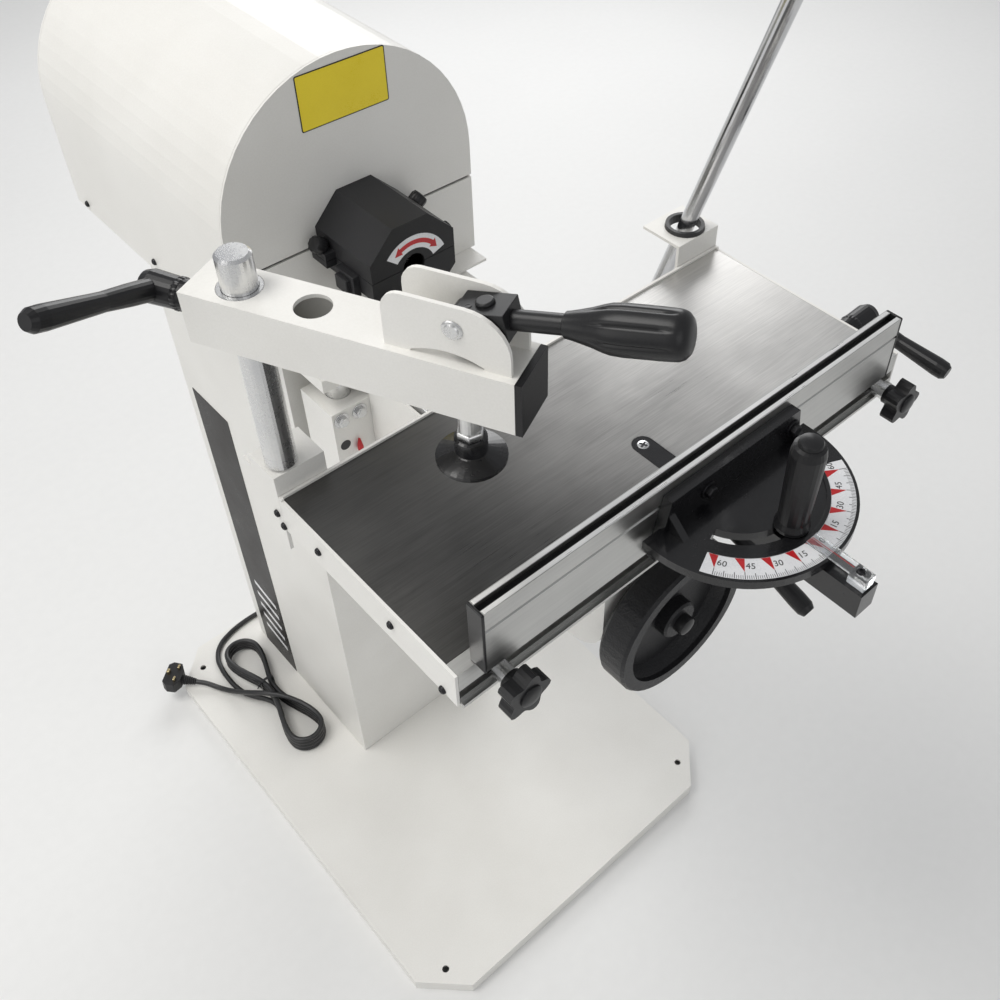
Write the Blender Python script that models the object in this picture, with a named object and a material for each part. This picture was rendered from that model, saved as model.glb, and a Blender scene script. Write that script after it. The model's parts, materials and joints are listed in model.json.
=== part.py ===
"""Horizontal slot mortiser: a free-standing woodworking machine with a cross-slide table.

Metres, +Z up. The origin is the middle of the footprint on the floor. +X runs along the
table to the operator's right, +Y runs away from the operator towards the motor.
"""
import math

import bmesh
import bpy
from mathutils import Matrix, Vector

# ---------------------------------------------------------------- driving dimensions
GAP = 0.0003                      # between touching pieces
SHEET = 0.003                     # folded steel sheet

BASE_X, BASE_Y = 0.504, 0.679     # footprint of the base tray
BASE_TOP = 0.0207
BASE_CORNER = 0.051               # chamfer at each corner of the tray
BASE_HOLE_INSET = 0.038
STIFFENER_X, STIFFENER_Y = 0.090, 0.600

COLUMN_HALF = 0.110               # half width of the column, X
COLUMN_FRONT, COLUMN_BACK = 0.017, 0.300
COLUMN_TOP = 0.7857

DECK_HALF = 0.133
DECK_FRONT = -0.008
DECK_Z = COLUMN_TOP + GAP

HOOD_R = 0.1386                   # half width and arch radius of the hood
HOOD_FRONT, HOOD_BACK = 0.018, 0.382
HOOD_Z = DECK_Z + SHEET + GAP
HOOD_ARCH_Z = 0.912               # height of the arch's centre
PANEL = 0.0025
SEAM_Z, SEAM = 0.8755, 0.003      # dark line between the two front panels
SPINDLE_Z = 0.877
SPINDLE_HOLE_R = 0.034

MOTOR_R = 0.068
MOTOR_Y0, MOTOR_Y1 = 0.090, 0.300
SHAFT_R = 0.0095
CHUCK_R, CHUCK_Y0, CHUCK_Y1 = 0.020, -0.052, 0.006

GUARD_R = 0.051                   # octagon, corner radius
GUARD_FRONT = -0.069
GUARD_WALL = 0.003
GUARD_HOLE_R = 0.012
GUARD_HINGE_X = 0.0583

GUIDE_X, GUIDE_Y, GUIDE_R = 0.080, -0.033, 0.0125
GUIDE_Z0, GUIDE_Z1 = 0.470, 0.776
SCREW_R = 0.007
SCREW_LEAD = 0.005

KNEE_HALF = 0.062
KNEE_FRONT, KNEE_BACK = -0.392, -0.060
KNEE_Z0, KNEE_Z1 = 0.655, 0.777
KNEE_CORNER = 0.045               # rounded lower front corner
CARRIAGE_HALF = 0.106
CARRIAGE_Y0, CARRIAGE_Y1 = -0.0597, -0.006
CARRIAGE_Z0, CARRIAGE_Z1 = 0.605, 0.745

WHEEL_Y, WHEEL_Z = -0.4295, 0.6915
WHEEL_R, WHEEL_DEPTH = 0.075, 0.030
WHEEL_SHAFT_R = 0.006
BEVEL_BIG, BEVEL_SMALL, BEVEL_CLEAR = 0.016, 0.0105, 0.0007   # bevel gear radii, gap between them

Y_ROD_X, Y_ROD_Z, Y_ROD_R = 0.045, 0.764, 0.006
X_ROD_Z, X_ROD_R = 0.824, 0.006
X_ROD_Y = (-0.375, -0.265)
SADDLE_Z = 0.782

TABLE_X0, TABLE_X1 = -0.240, 0.260
TABLE_Y0, TABLE_Y1 = -0.4256, -0.2105
TABLE_Z = 0.850
TABLE_PLATE = 0.008
APRON = 0.0025
APRON_Z = 0.815
RAIL_DEPTH = 0.0125
RAIL_SLOT_Z, RAIL_SLOT = 0.8265, 0.0085

BAR_X, BAR_W = 0.0106, 0.019      # mitre bar
BAR_BACK, BAR_FRONT = -0.346, -0.573
BAR_TOP, BAR_H = TABLE_Z, 0.008
BLOCK_Z = (0.846, 0.869)          # thick part of the bar, in front of the table
BLOCK_BACK = -0.460

FENCE_X0, FENCE_X1 = -0.2205, 0.2245
FENCE_Y0, FENCE_Y1 = -0.4364, -0.4212
FENCE_H = 0.0626
PIVOT_X, PIVOT_Y = 0.0106, -0.450  # mitre head pivot
PROTRACTOR_R = 0.0905
PROTRACTOR_Z0, PROTRACTOR_Z1 = 0.8695, 0.877
HEAD_Z0, HEAD_TOP = TABLE_Z + GAP, 0.905
MITRE_SLOT_R, MITRE_SLOT = 0.052, 0.011
LOCK_Y = PIVOT_Y - MITRE_SLOT_R

POST_X, POST_Y, POST_R = -0.225, -0.198, 0.0125
POST_TOP = 1.065
BUSH_WALL = 0.0032
ARM_END = Vector((-0.2404, -0.167, 0.0))      # middle of the arm's left end
ARM_DIR = Vector((0.4366, -0.8997, 0.0)).normalized()
ARM_LEN, ARM_W, ARM_WALL = 0.240, 0.042, 0.003
ARM_Z0 = 0.9957
ARM_Z1 = ARM_Z0 + ARM_W
POST_AT, HOLE_AT, CAM_AT = 0.0346, 0.090, 0.198
CAM_Z = 1.063
CAM_TILT = math.radians(11.0)
CAM_RADIUS, CAM_OFFSET = 0.0105, 0.0050
EAR_IN, EAR = 0.0125, 0.003
EAR_ROUND, EAR_GAP_RISE = 0.030, 0.0055
FOOT_Z, FOOT_R = 0.940, 0.025

STICK_X, STICK_LEAN = 0.234, 0.326            # lean is the run in -Y for each rise of 1
STICK_PIVOT = Vector((STICK_X, -0.1017, 0.600))
STICK_R, STICK_LEN, BALL_R = 0.008, 0.668, 0.019
BRACKET_Z = 0.872
BUSH_R = 0.0155

KNOB_R = 0.020
STOP_X = (-0.203, 0.234)

CORD_R = 0.00375
CORD_Z = BASE_TOP + CORD_R + GAP
PLUG_RISE = 0.0055               # the plug lies on the tray, so the cord lifts a little to it
BOX_X, BOX_Y, BOX_Z = (-0.045, 0.065), (0.3003, 0.3380), (0.130, 0.230)
GLAND_X, GLAND_Y, GLAND_LEN = 0.020, 0.3215, 0.030

# Cord from the gland to the hank, chosen by hand: down, then along the tray.
CORD_ROUTE = (
    (0.0200, 0.3215, 0.0994), (0.0195, 0.3215, 0.0880), (0.0170, 0.3217, 0.0690),
    (0.0080, 0.3222, 0.0480), (-0.0090, 0.3228, 0.0330), (-0.0300, 0.3236, 0.0262),
    (-0.0550, 0.3258, CORD_Z), (-0.0800, 0.3292, CORD_Z), (-0.1040, 0.3318, CORD_Z),
    (-0.1280, 0.3310, CORD_Z), (-0.1520, 0.3265, CORD_Z), (-0.1740, 0.3165, CORD_Z),
    (-0.1885, 0.2990, CORD_Z), (-0.1945, 0.2770, CORD_Z), (-0.1960, 0.2530, CORD_Z),
    (-0.1945, 0.2310, CORD_Z), (-0.1895, 0.2130, CORD_Z), (-0.1815, 0.1985, CORD_Z),
)
# Cord from the hank to the plug.
TAIL_ROUTE = (
    (-0.1868, 0.1856, CORD_Z), (-0.1930, 0.1990, CORD_Z), (-0.2010, 0.2190, CORD_Z),
    (-0.2085, 0.2380, CORD_Z), (-0.2165, 0.2540, CORD_Z + 0.0020),
    (-0.2265, 0.2680, CORD_Z + 0.0045), (-0.2360, 0.2790, CORD_Z + PLUG_RISE),
)
HANK_X, HANK_Y0, HANK_Y1 = -0.1590, 0.0950, 0.2680
HANK_R, HANK_WAIST, HANK_WAIST_Y, HANK_H = 0.0275, 0.0120, 0.1815, 0.0310

MATERIALS = {
    "white_paint": ((0.80, 0.79, 0.76), 0.38, 0.0),
    "black_plastic": ((0.02, 0.02, 0.022), 0.42, 0.0),
    "black_casting": ((0.012, 0.012, 0.013), 0.22, 0.0),
    "ground_steel": ((0.42, 0.41, 0.39), 0.34, 1.0),
    "bright_steel": ((0.66, 0.67, 0.68), 0.20, 1.0),
    "aluminium": ((0.62, 0.62, 0.60), 0.32, 1.0),
    "black_rubber": ((0.018, 0.018, 0.018), 0.75, 0.0),
    "motor_grey": ((0.16, 0.17, 0.18), 0.50, 0.0),
    "clear_plastic": ((0.85, 0.88, 0.90), 0.10, 0.0),
}


# ---------------------------------------------------------------- tools for making solids
def clear_scene():
    for obj in list(bpy.data.objects):
        bpy.data.objects.remove(obj, do_unlink=True)


def material(name):
    found = bpy.data.materials.get(name)
    if found:
        return found
    colour, roughness, metallic = MATERIALS[name]
    made = bpy.data.materials.new(name)
    made.use_nodes = True
    shader = made.node_tree.nodes["Principled BSDF"]
    shader.inputs["Base Color"].default_value = (*colour, 1.0)
    shader.inputs["Roughness"].default_value = roughness
    shader.inputs["Metallic"].default_value = metallic
    return made


def raw(bm):
    """Turn a bmesh into an unnamed solid that piece() will use up."""
    bmesh.ops.recalc_face_normals(bm, faces=bm.faces)
    mesh = bpy.data.meshes.new("solid")
    bm.to_mesh(mesh)
    bm.free()
    obj = bpy.data.objects.new("solid", mesh)
    bpy.context.collection.objects.link(obj)
    return obj


def block(x, y, z):
    """Box between pairs of X, Y and Z."""
    bm = bmesh.new()
    size = Vector((x[1] - x[0], y[1] - y[0], z[1] - z[0]))
    middle = Vector(((x[0] + x[1]) / 2, (y[0] + y[1]) / 2, (z[0] + z[1]) / 2))
    place = Matrix.Translation(middle) @ Matrix.Diagonal((*size, 1.0))
    bmesh.ops.create_cube(bm, size=1.0, matrix=place)
    return raw(bm)


def along(start, direction):
    """Frame at start whose Z axis points along direction."""
    turn = Vector((0, 0, 1)).rotation_difference(Vector(direction)).to_matrix().to_4x4()
    return Matrix.Translation(Vector(start)) @ turn


def turned(profile, start, direction, sides=28):
    """Solid of revolution. profile is a list of (radius, height) from the bottom up, radius above 0."""
    bm = bmesh.new()
    frame = along(start, direction)
    rings = []
    for radius, height in profile:
        ring = []
        for i in range(sides):
            angle = math.tau * i / sides
            point = Vector((radius * math.cos(angle), radius * math.sin(angle), height))
            ring.append(bm.verts.new(frame @ point))
        rings.append(ring)
    for low, high in zip(rings, rings[1:]):
        for i in range(sides):
            bm.faces.new((low[i], low[i - 1], high[i - 1], high[i]))
    bm.faces.new(rings[0])
    bm.faces.new(rings[-1])
    return raw(bm)


def rod(start, end, radius, sides=28, chamfer=0.0):
    start, end = Vector(start), Vector(end)
    length = (end - start).length
    profile = [(radius, 0.0), (radius, length)]
    if chamfer:
        profile = [(radius - chamfer, 0.0), (radius, chamfer)]
        profile += [(radius, length - chamfer), (radius - chamfer, length)]
    return turned(profile, start, end - start, sides)


def prism(outline, frame, depth):
    """Outline of (u, v) points in the frame's XY plane, extruded along its Z axis."""
    bm = bmesh.new()
    floor = [bm.verts.new(frame @ Vector((u, v, 0.0))) for u, v in outline]
    roof = [bm.verts.new(frame @ Vector((u, v, depth))) for u, v in outline]
    count = len(outline)
    for i in range(count):
        bm.faces.new((floor[i], floor[(i + 1) % count], roof[(i + 1) % count], roof[i]))
    bm.faces.new(floor)
    bm.faces.new(roof)
    return raw(bm)


def arc(cx, cy, radius, start, end, steps):
    """Points of an arc, angles in degrees, both ends included."""
    points = []
    for i in range(steps + 1):
        angle = math.radians(start + (end - start) * i / steps)
        points.append((cx + radius * math.cos(angle), cy + radius * math.sin(angle)))
    return points


# Frames for prisms: (u, v) are (X, Y), (X, Z) or (Y, Z), and depth runs along the third axis.
def on_xy(z=0.0):
    return Matrix.Translation((0, 0, z))


def on_xz(y):
    """Depth runs along -Y."""
    return Matrix.Translation((0, y, 0)) @ Matrix.Rotation(math.radians(90), 4, "X")


def on_yz(x):
    """Depth runs along +X."""
    return Matrix(((0, 0, 1, x), (1, 0, 0, 0), (0, 1, 0, 0), (0, 0, 0, 1)))


def piece(name, finish, solids, cuts=(), pivot=(0, 0, 0), place=None, bevel=0.0):
    """Join the solids, take the cuts away, move by place, and put the origin on pivot."""
    obj = solids[0]
    for kind, others in (("UNION", solids[1:]), ("DIFFERENCE", cuts)):
        for other in others:
            change = obj.modifiers.new(kind.lower(), "BOOLEAN")
            change.operation = kind
            change.solver = "EXACT"
            change.object = other
    if bevel:
        edge = obj.modifiers.new("edge", "BEVEL")
        edge.width = bevel
        edge.segments = 1
        edge.limit_method = "ANGLE"
        edge.angle_limit = math.radians(50)
    graph = bpy.context.evaluated_depsgraph_get()
    mesh = bpy.data.meshes.new_from_object(obj.evaluated_get(graph))
    for used in (*solids, *cuts):
        bpy.data.objects.remove(used, do_unlink=True)
    if place:
        mesh.transform(place)
    mesh.transform(Matrix.Translation(-Vector(pivot)))
    mesh.name = name
    mesh.materials.clear()
    mesh.materials.append(material(finish))
    mesh.shade_smooth()
    mesh.set_sharp_from_angle(angle=math.radians(35))
    made = bpy.data.objects.new(name, mesh)
    made.location = pivot
    bpy.context.collection.objects.link(made)
    return made


# ---------------------------------------------------------------- stand
def chamfered_rectangle(half_x, half_y, corner):
    points = []
    for sx, sy in ((1, 1), (-1, 1), (-1, -1), (1, -1)):
        near_x = (sx * half_x, sy * (half_y - corner))
        near_y = (sx * (half_x - corner), sy * half_y)
        points += [near_x, near_y] if sx * sy > 0 else [near_y, near_x]
    return points


def base_tray():
    outer = prism(chamfered_rectangle(BASE_X / 2, BASE_Y / 2, BASE_CORNER), on_xy(), BASE_TOP)
    inner_corner = BASE_CORNER - SHEET * math.tan(math.radians(22.5))
    inner_outline = chamfered_rectangle(BASE_X / 2 - SHEET, BASE_Y / 2 - SHEET, inner_corner)
    inner = prism(inner_outline, on_xy(-0.01), BASE_TOP - SHEET + 0.01)
    holes = []
    for sx in (-1, 1):
        for sy in (-1, 1):
            x, y = sx * (BASE_X / 2 - BASE_HOLE_INSET), sy * (BASE_Y / 2 - BASE_HOLE_INSET)
            holes.append(rod((x, y, 0.005), (x, y, 0.04), 0.0045, 16))
    half_x, half_y = STIFFENER_X / 2, STIFFENER_Y / 2
    hat = block((-half_x, half_x), (-half_y, half_y), (0.0, BASE_TOP - SHEET / 2))
    hollow = block((-half_x + SHEET, half_x - SHEET), (-STIFFENER_Y, STIFFENER_Y), (SHEET, BASE_TOP - SHEET))
    tray = piece("base_shell", "white_paint", [outer], [inner, *holes])
    hat_piece = piece("base_hat", "white_paint", [hat], [hollow])
    return piece("base_tray", "white_paint", [tray, hat_piece])


def guide_bracket(z0, z1):
    """Solids of one bracket, welded to the column's front, that holds the guide rods' ends."""
    return block((-0.106, 0.106), (-0.053, COLUMN_FRONT + 0.001), (z0, z1))


def column_shell():
    outer = block((-COLUMN_HALF, COLUMN_HALF), (COLUMN_FRONT, COLUMN_BACK), (BASE_TOP + GAP, COLUMN_TOP))
    inner = block(
        (-COLUMN_HALF + SHEET, COLUMN_HALF - SHEET),
        (COLUMN_FRONT + SHEET, COLUMN_BACK - SHEET),
        (0.0, COLUMN_TOP + 0.01),
    )
    cable_hole = rod((GLAND_X, 0.29, 0.18), (GLAND_X, 0.31, 0.18), 0.012, 16)
    brackets = [guide_bracket(0.457, 0.480), guide_bracket(0.770, 0.785)]
    cuts = [cable_hole]
    for x in (-GUIDE_X, GUIDE_X):
        cuts.append(rod((x, GUIDE_Y, GUIDE_Z0 - GAP), (x, GUIDE_Y, GUIDE_Z1 + GAP), GUIDE_R + GAP, 28))
    cuts.append(rod((0, GUIDE_Y, GUIDE_Z0 - GAP), (0, GUIDE_Y, GUIDE_Z1 + GAP), SCREW_R + GAP, 20))
    tube = piece("column_tube", "white_paint", [outer], [inner])
    return piece("column_shell", "white_paint", [tube, *brackets], cuts)


def deck_plate():
    plate = block((-DECK_HALF, DECK_HALF), (DECK_FRONT, 0.378), (DECK_Z, DECK_Z + SHEET))
    cable_hole = rod((0, 0.200, DECK_Z - 0.01), (0, 0.200, DECK_Z + 0.01), 0.015, 16)
    return piece("deck_plate", "white_paint", [plate], [cable_hole])


def arch(radius, floor, steps=28):
    """Outline in (X, Z) of the hood's round-topped section."""
    return [(-radius, floor), (radius, floor)] + arc(0.0, HOOD_ARCH_Z, radius, 0, 180, steps)


def hood_shell():
    y0, y1 = HOOD_FRONT + PANEL + GAP, HOOD_BACK - PANEL - GAP
    outer = prism(arch(HOOD_R, HOOD_Z), on_xz(y1), y1 - y0)
    inner = prism(arch(HOOD_R - PANEL, HOOD_Z - 0.02), on_xz(y1 + 0.01), y1 - y0 + 0.02)
    return piece("hood_shell", "white_paint", [outer], [inner])


def hood_front_panel():
    top = arc(0.0, HOOD_ARCH_Z, HOOD_R, 0, 180, 28)
    outline = [(-HOOD_R, SEAM_Z + SEAM / 2), (HOOD_R, SEAM_Z + SEAM / 2)] + top
    plate = prism(outline, on_xz(HOOD_FRONT + PANEL), PANEL)
    hole = rod((0, 0, SPINDLE_Z), (0, 0.05, SPINDLE_Z), SPINDLE_HOLE_R)
    return piece("hood_front_panel", "white_paint", [plate], [hole])


def lower_front_panel():
    plate = block((-HOOD_R, HOOD_R), (HOOD_FRONT, HOOD_FRONT + PANEL), (HOOD_Z, SEAM_Z - SEAM / 2))
    hole = rod((0, 0, SPINDLE_Z), (0, 0.05, SPINDLE_Z), SPINDLE_HOLE_R)
    return piece("lower_front_panel", "white_paint", [plate], [hole])


def hood_rear_panel():
    plate = prism(arch(HOOD_R, HOOD_Z), on_xz(HOOD_BACK), PANEL)
    vents = []
    for i in range(7):
        z = 0.850 + 0.018 * i
        vents.append(block((-0.060, 0.060), (HOOD_BACK - 0.02, HOOD_BACK + 0.02), (z, z + 0.006)))
    return piece("hood_rear_panel", "white_paint", [plate], vents)


def motor_body():
    middle = MOTOR_Y1 - MOTOR_Y0
    barrel = turned(
        [(0.050, 0.0), (MOTOR_R, 0.012), (MOTOR_R, middle - 0.030), (0.060, middle - 0.006), (0.050, middle)],
        (0, MOTOR_Y0, SPINDLE_Z), (0, 1, 0), 32,
    )
    foot = block((-0.060, 0.060), (0.125, 0.245), (HOOD_Z, SPINDLE_Z - 0.045))
    arch_cut = block((-0.035, 0.035), (0.10, 0.27), (HOOD_Z - 0.01, HOOD_Z + 0.012))
    bore = rod((0, MOTOR_Y0 - 0.01, SPINDLE_Z), (0, MOTOR_Y0 + 0.060, SPINDLE_Z), SHAFT_R + 0.0006)
    return piece("motor_body", "motor_grey", [barrel, foot], [arch_cut, bore])


# ---------------------------------------------------------------- spindle and its guard
def spindle_shaft():
    end = MOTOR_Y0 + 0.058
    shaft = rod((0, CHUCK_Y1 + GAP, SPINDLE_Z), (0, end, SPINDLE_Z), SHAFT_R)
    return piece("spindle_shaft", "bright_steel", [shaft], pivot=(0, 0, SPINDLE_Z))


def chuck():
    depth = CHUCK_Y1 - CHUCK_Y0
    body = turned(
        [(0.009, 0.0), (0.015, 0.012), (0.017, 0.013), (CHUCK_R, 0.020), (CHUCK_R, depth - 0.004),
         (0.016, depth)],
        (0, CHUCK_Y0, SPINDLE_Z), (0, 1, 0), 28,
    )
    mouth = rod((0, CHUCK_Y0 - 0.01, SPINDLE_Z), (0, CHUCK_Y0 + 0.035, SPINDLE_Z), 0.005, 16)
    return piece("chuck", "bright_steel", [body], [mouth], pivot=(0, 0, SPINDLE_Z))


def octagon(radius, offset=22.5):
    points = []
    for i in range(8):
        angle = math.radians(offset + 45 * i)
        points.append((radius * math.cos(angle), SPINDLE_Z + radius * math.sin(angle)))
    return points


def guard_half(name, side):
    """Half of the eight-sided chuck guard: side is 1 for the upper half, -1 for the lower."""
    back = HOOD_FRONT - GAP
    outer = prism(octagon(GUARD_R), on_xz(back), back - GUARD_FRONT)
    inner_depth = back + 0.01 - GUARD_FRONT - GUARD_WALL
    inner = prism(octagon(GUARD_R - GUARD_WALL * 1.1), on_xz(back + 0.01), inner_depth)
    hole = rod((0, GUARD_FRONT - 0.01, SPINDLE_Z), (0, GUARD_FRONT + 0.02, SPINDLE_Z), GUARD_HOLE_R, 24)
    middle = SPINDLE_Z + side * GAP
    far = SPINDLE_Z - side * 0.1
    cut = block((-0.1, 0.1), (-0.1, 0.1), (min(middle, far), max(middle, far)))
    solids = [outer]
    lug_z = (middle, middle + side * 0.007)
    for sx in (-1, 1):
        x = sorted((sx * (GUARD_R - 0.006), sx * (GUARD_R + 0.007)))
        solids.append(block(x, (-0.012, 0.012), sorted(lug_z)))
    pivot = (GUARD_HINGE_X, 0.0, SPINDLE_Z)
    return piece(name, "black_plastic", solids, [inner, hole, cut], pivot=pivot if side > 0 else (0, 0, 0))


# ---------------------------------------------------------------- height slide and knee
def leadscrew():
    screw = rod((0, GUIDE_Y, GUIDE_Z0), (0, GUIDE_Y, GUIDE_Z1), SCREW_R, 20)
    return piece("leadscrew", "bright_steel", [screw])


def guide_rod(name, x):
    bar = rod((x, GUIDE_Y, GUIDE_Z0), (x, GUIDE_Y, GUIDE_Z1), GUIDE_R, 28)
    return piece(name, "bright_steel", [bar])


def knee_side_outline(front, z0, z1, corner):
    lower_front = arc(front + corner, z0 + corner, corner, 180, 270, 8)
    return [(KNEE_BACK, z0), (KNEE_BACK, z1), (front, z1)] + lower_front


def knee_box():
    """Folded box, open on top: sides, bottom, front and back."""
    outline = knee_side_outline(KNEE_FRONT, KNEE_Z0, KNEE_Z1, KNEE_CORNER)
    outer = prism(outline, on_yz(-KNEE_HALF), 2 * KNEE_HALF)
    cavity_outline = [(KNEE_BACK - SHEET, KNEE_Z0 + SHEET), (KNEE_BACK - SHEET, KNEE_Z1 + 0.02)]
    cavity_outline += [(KNEE_FRONT + SHEET, KNEE_Z1 + 0.02)]
    cavity_outline += arc(KNEE_FRONT + KNEE_CORNER, KNEE_Z0 + KNEE_CORNER, KNEE_CORNER - SHEET, 180, 270, 8)
    cavity = prism(cavity_outline, on_yz(-KNEE_HALF + SHEET), 2 * (KNEE_HALF - SHEET))
    shaft_hole = rod((0, -0.5, WHEEL_Z), (0, 0.1, WHEEL_Z), 0.009, 20)
    cuts = [cavity, shaft_hole]
    for x in (-Y_ROD_X, Y_ROD_X):
        cuts.append(rod((x, -0.5, Y_ROD_Z), (x, 0.1, Y_ROD_Z), Y_ROD_R + GAP, 20))
    return piece("knee_box", "white_paint", [outer], cuts)


def knee_front_plate():
    """Cast bearing plate on the knee's front, behind the handwheel."""
    y = KNEE_FRONT - GAP
    body = turned([(0.034, 0.0), (0.034, 0.004), (0.020, 0.005)], (0, y, WHEEL_Z), (0, -1, 0), 28)
    bore = rod((0, y - 0.03, WHEEL_Z), (0, y + 0.01, WHEEL_Z), WHEEL_SHAFT_R + GAP, 24)
    return piece("knee_front_plate", "black_casting", [body], [bore])


def knee_carriage():
    """Casting that slides on the two guide rods; a window in its middle holds the gears."""
    body = block((-CARRIAGE_HALF, CARRIAGE_HALF), (CARRIAGE_Y0, CARRIAGE_Y1), (CARRIAGE_Z0, CARRIAGE_Z1))
    window = block((-0.030, 0.030), (-0.1, 0.1), (0.645, 0.722))
    cuts = [window]
    for x in (-GUIDE_X, GUIDE_X):
        cuts.append(rod((x, GUIDE_Y, 0.5), (x, GUIDE_Y, 0.9), GUIDE_R + GAP, 28))
    cuts.append(rod((0, GUIDE_Y, 0.5), (0, GUIDE_Y, 0.9), SCREW_R + 0.001, 20))
    return piece("knee_carriage", "motor_grey", [body], cuts)


def y_rod(name, x):
    bar = rod((x, KNEE_FRONT + 0.0005, Y_ROD_Z), (x, KNEE_BACK - 0.0005, Y_ROD_Z), Y_ROD_R, 20)
    return piece(name, "bright_steel", [bar])


def lift_nut():
    """Nut with a bevel gear; it turns on the fixed leadscrew and lifts the knee."""
    z = WHEEL_Z
    body = turned(
        [(0.012, 0.6465 - z), (0.012, -BEVEL_BIG - 0.001), (BEVEL_BIG - BEVEL_CLEAR, -BEVEL_BIG),
         (BEVEL_SMALL - BEVEL_CLEAR, -BEVEL_SMALL)],
        (0, GUIDE_Y, z), (0, 0, 1), 24,
    )
    bore = rod((0, GUIDE_Y, 0.6), (0, GUIDE_Y, 0.8), SCREW_R + GAP, 20)
    return piece("lift_nut", "bright_steel", [body], [bore], pivot=(0, GUIDE_Y, WHEEL_Z))


def wheel_shaft():
    """Cross shaft with the matching bevel gear on its inner end."""
    gear = turned(
        [(0.009, -0.0205), (BEVEL_BIG - BEVEL_CLEAR, -BEVEL_BIG), (BEVEL_SMALL - BEVEL_CLEAR, -BEVEL_SMALL)],
        (0, GUIDE_Y, WHEEL_Z), (0, 1, 0), 24,
    )
    shaft = rod((0, WHEEL_Y - 0.004, WHEEL_Z), (0, GUIDE_Y - 0.018, WHEEL_Z), WHEEL_SHAFT_R, 24)
    return piece("wheel_shaft", "bright_steel", [shaft, gear], pivot=(0, WHEEL_Y, WHEEL_Z))


def handwheel():
    """Dished wheel: deep rim, solid web set back from the front, hub with a small recess."""
    front = WHEEL_Y
    middle = (0, front, WHEEL_Z)
    rim = turned(
        [(WHEEL_R - 0.002, 0.0), (WHEEL_R, 0.003), (WHEEL_R, WHEEL_DEPTH - 0.003),
         (WHEEL_R - 0.002, WHEEL_DEPTH)],
        middle, (0, 1, 0), 48,
    )
    front_dish = turned([(0.0625, -0.01), (0.0625, 0.005), (0.057, 0.017)], middle, (0, 1, 0), 48)
    back_dish = turned([(0.058, 0.023), (0.064, 0.040)], middle, (0, 1, 0), 48)
    hub = turned([(0.017, 0.004), (0.019, 0.006), (0.019, WHEEL_DEPTH - 0.003)], middle, (0, 1, 0), 28)
    bore = rod((0, front - 0.02, WHEEL_Z), (0, front + 0.05, WHEEL_Z), WHEEL_SHAFT_R + GAP, 24)
    dished = piece("wheel_rim", "black_plastic", [rim], [front_dish, back_dish])
    return piece("handwheel", "black_plastic", [dished, hub], [bore], pivot=(0, WHEEL_Y, WHEEL_Z))


def saddle_body():
    """Cross slide: lugs below run on the knee's Y rods, lugs above carry the table's X rods."""
    solids = [block((-0.075, 0.075), (-0.395, -0.245), (SADDLE_Z, SADDLE_Z + 0.010))]
    cuts = []
    for x in (-Y_ROD_X, Y_ROD_X):
        solids.append(block((x - 0.011, x + 0.011), (-0.350, -0.290), (Y_ROD_Z - 0.011, SADDLE_Z + 0.002)))
        cuts.append(rod((x, -0.6, Y_ROD_Z), (x, 0.0, Y_ROD_Z), Y_ROD_R + GAP, 20))
    for y in X_ROD_Y:
        solids.append(block((-0.060, 0.060), (y - 0.012, y + 0.012), (SADDLE_Z + 0.008, X_ROD_Z + 0.012)))
        cuts.append(rod((-0.3, y, X_ROD_Z), (0.3, y, X_ROD_Z), X_ROD_R + GAP, 20))
    return piece("saddle_body", "motor_grey", solids, cuts)


# ---------------------------------------------------------------- table
def table_plate():
    plate = block(
        (TABLE_X0 + APRON + GAP, TABLE_X1 - APRON - GAP),
        (TABLE_Y0 + RAIL_DEPTH + GAP, TABLE_Y1 - APRON - GAP),
        (TABLE_Z - TABLE_PLATE, TABLE_Z),
    )
    half = BAR_W / 2 + GAP
    round_end = BAR_BACK - BAR_W / 2
    slot_outline = arc(BAR_X, round_end, half, 0, 180, 12) + [(BAR_X - half, -0.5), (BAR_X + half, -0.5)]
    slot = prism(slot_outline, on_xy(TABLE_Z - TABLE_PLATE - 0.01), 0.03)
    return piece("table_plate", "ground_steel", [plate], [slot])


def table_apron():
    """White folded sheet round the left, back and right of the table, with rod holders inside."""
    rim = TABLE_Z + 0.0022
    above = rim + 0.01
    outer = block((TABLE_X0, TABLE_X1), (TABLE_Y0, TABLE_Y1), (APRON_Z, rim))
    inside_x = (TABLE_X0 + APRON, TABLE_X1 - APRON)
    inner = block(inside_x, (TABLE_Y0 - 0.02, TABLE_Y1 - APRON), (APRON_Z - 0.01, above))
    outside_x = (TABLE_X0 - 0.01, TABLE_X1 + 0.01)
    lower_side = block(outside_x, (TABLE_Y0 - 0.01, TABLE_Y1 - 0.004), (TABLE_Z, above))
    cuts = [inner, lower_side]
    sheet = piece("apron_sheet", "white_paint", [outer], cuts)
    holders = []
    for y in X_ROD_Y:
        for x0, x1 in ((TABLE_X0 + 0.002, TABLE_X0 + 0.014), (TABLE_X1 - 0.014, TABLE_X1 - 0.002)):
            holders.append(block((x0, x1), (y - 0.010, y + 0.010), (APRON_Z, 0.8365)))
    bores = []
    for y in X_ROD_Y:
        bores.append(rod((TABLE_X0 + 0.004, y, X_ROD_Z), (TABLE_X1 - 0.004, y, X_ROD_Z), X_ROD_R + GAP, 20))
    return piece("table_apron", "white_paint", [sheet, *holders], bores)


def x_rod(name, y):
    bar = rod((TABLE_X0 + 0.005, y, X_ROD_Z), (TABLE_X1 - 0.005, y, X_ROD_Z), X_ROD_R, 20)
    return piece(name, "bright_steel", [bar])


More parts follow.
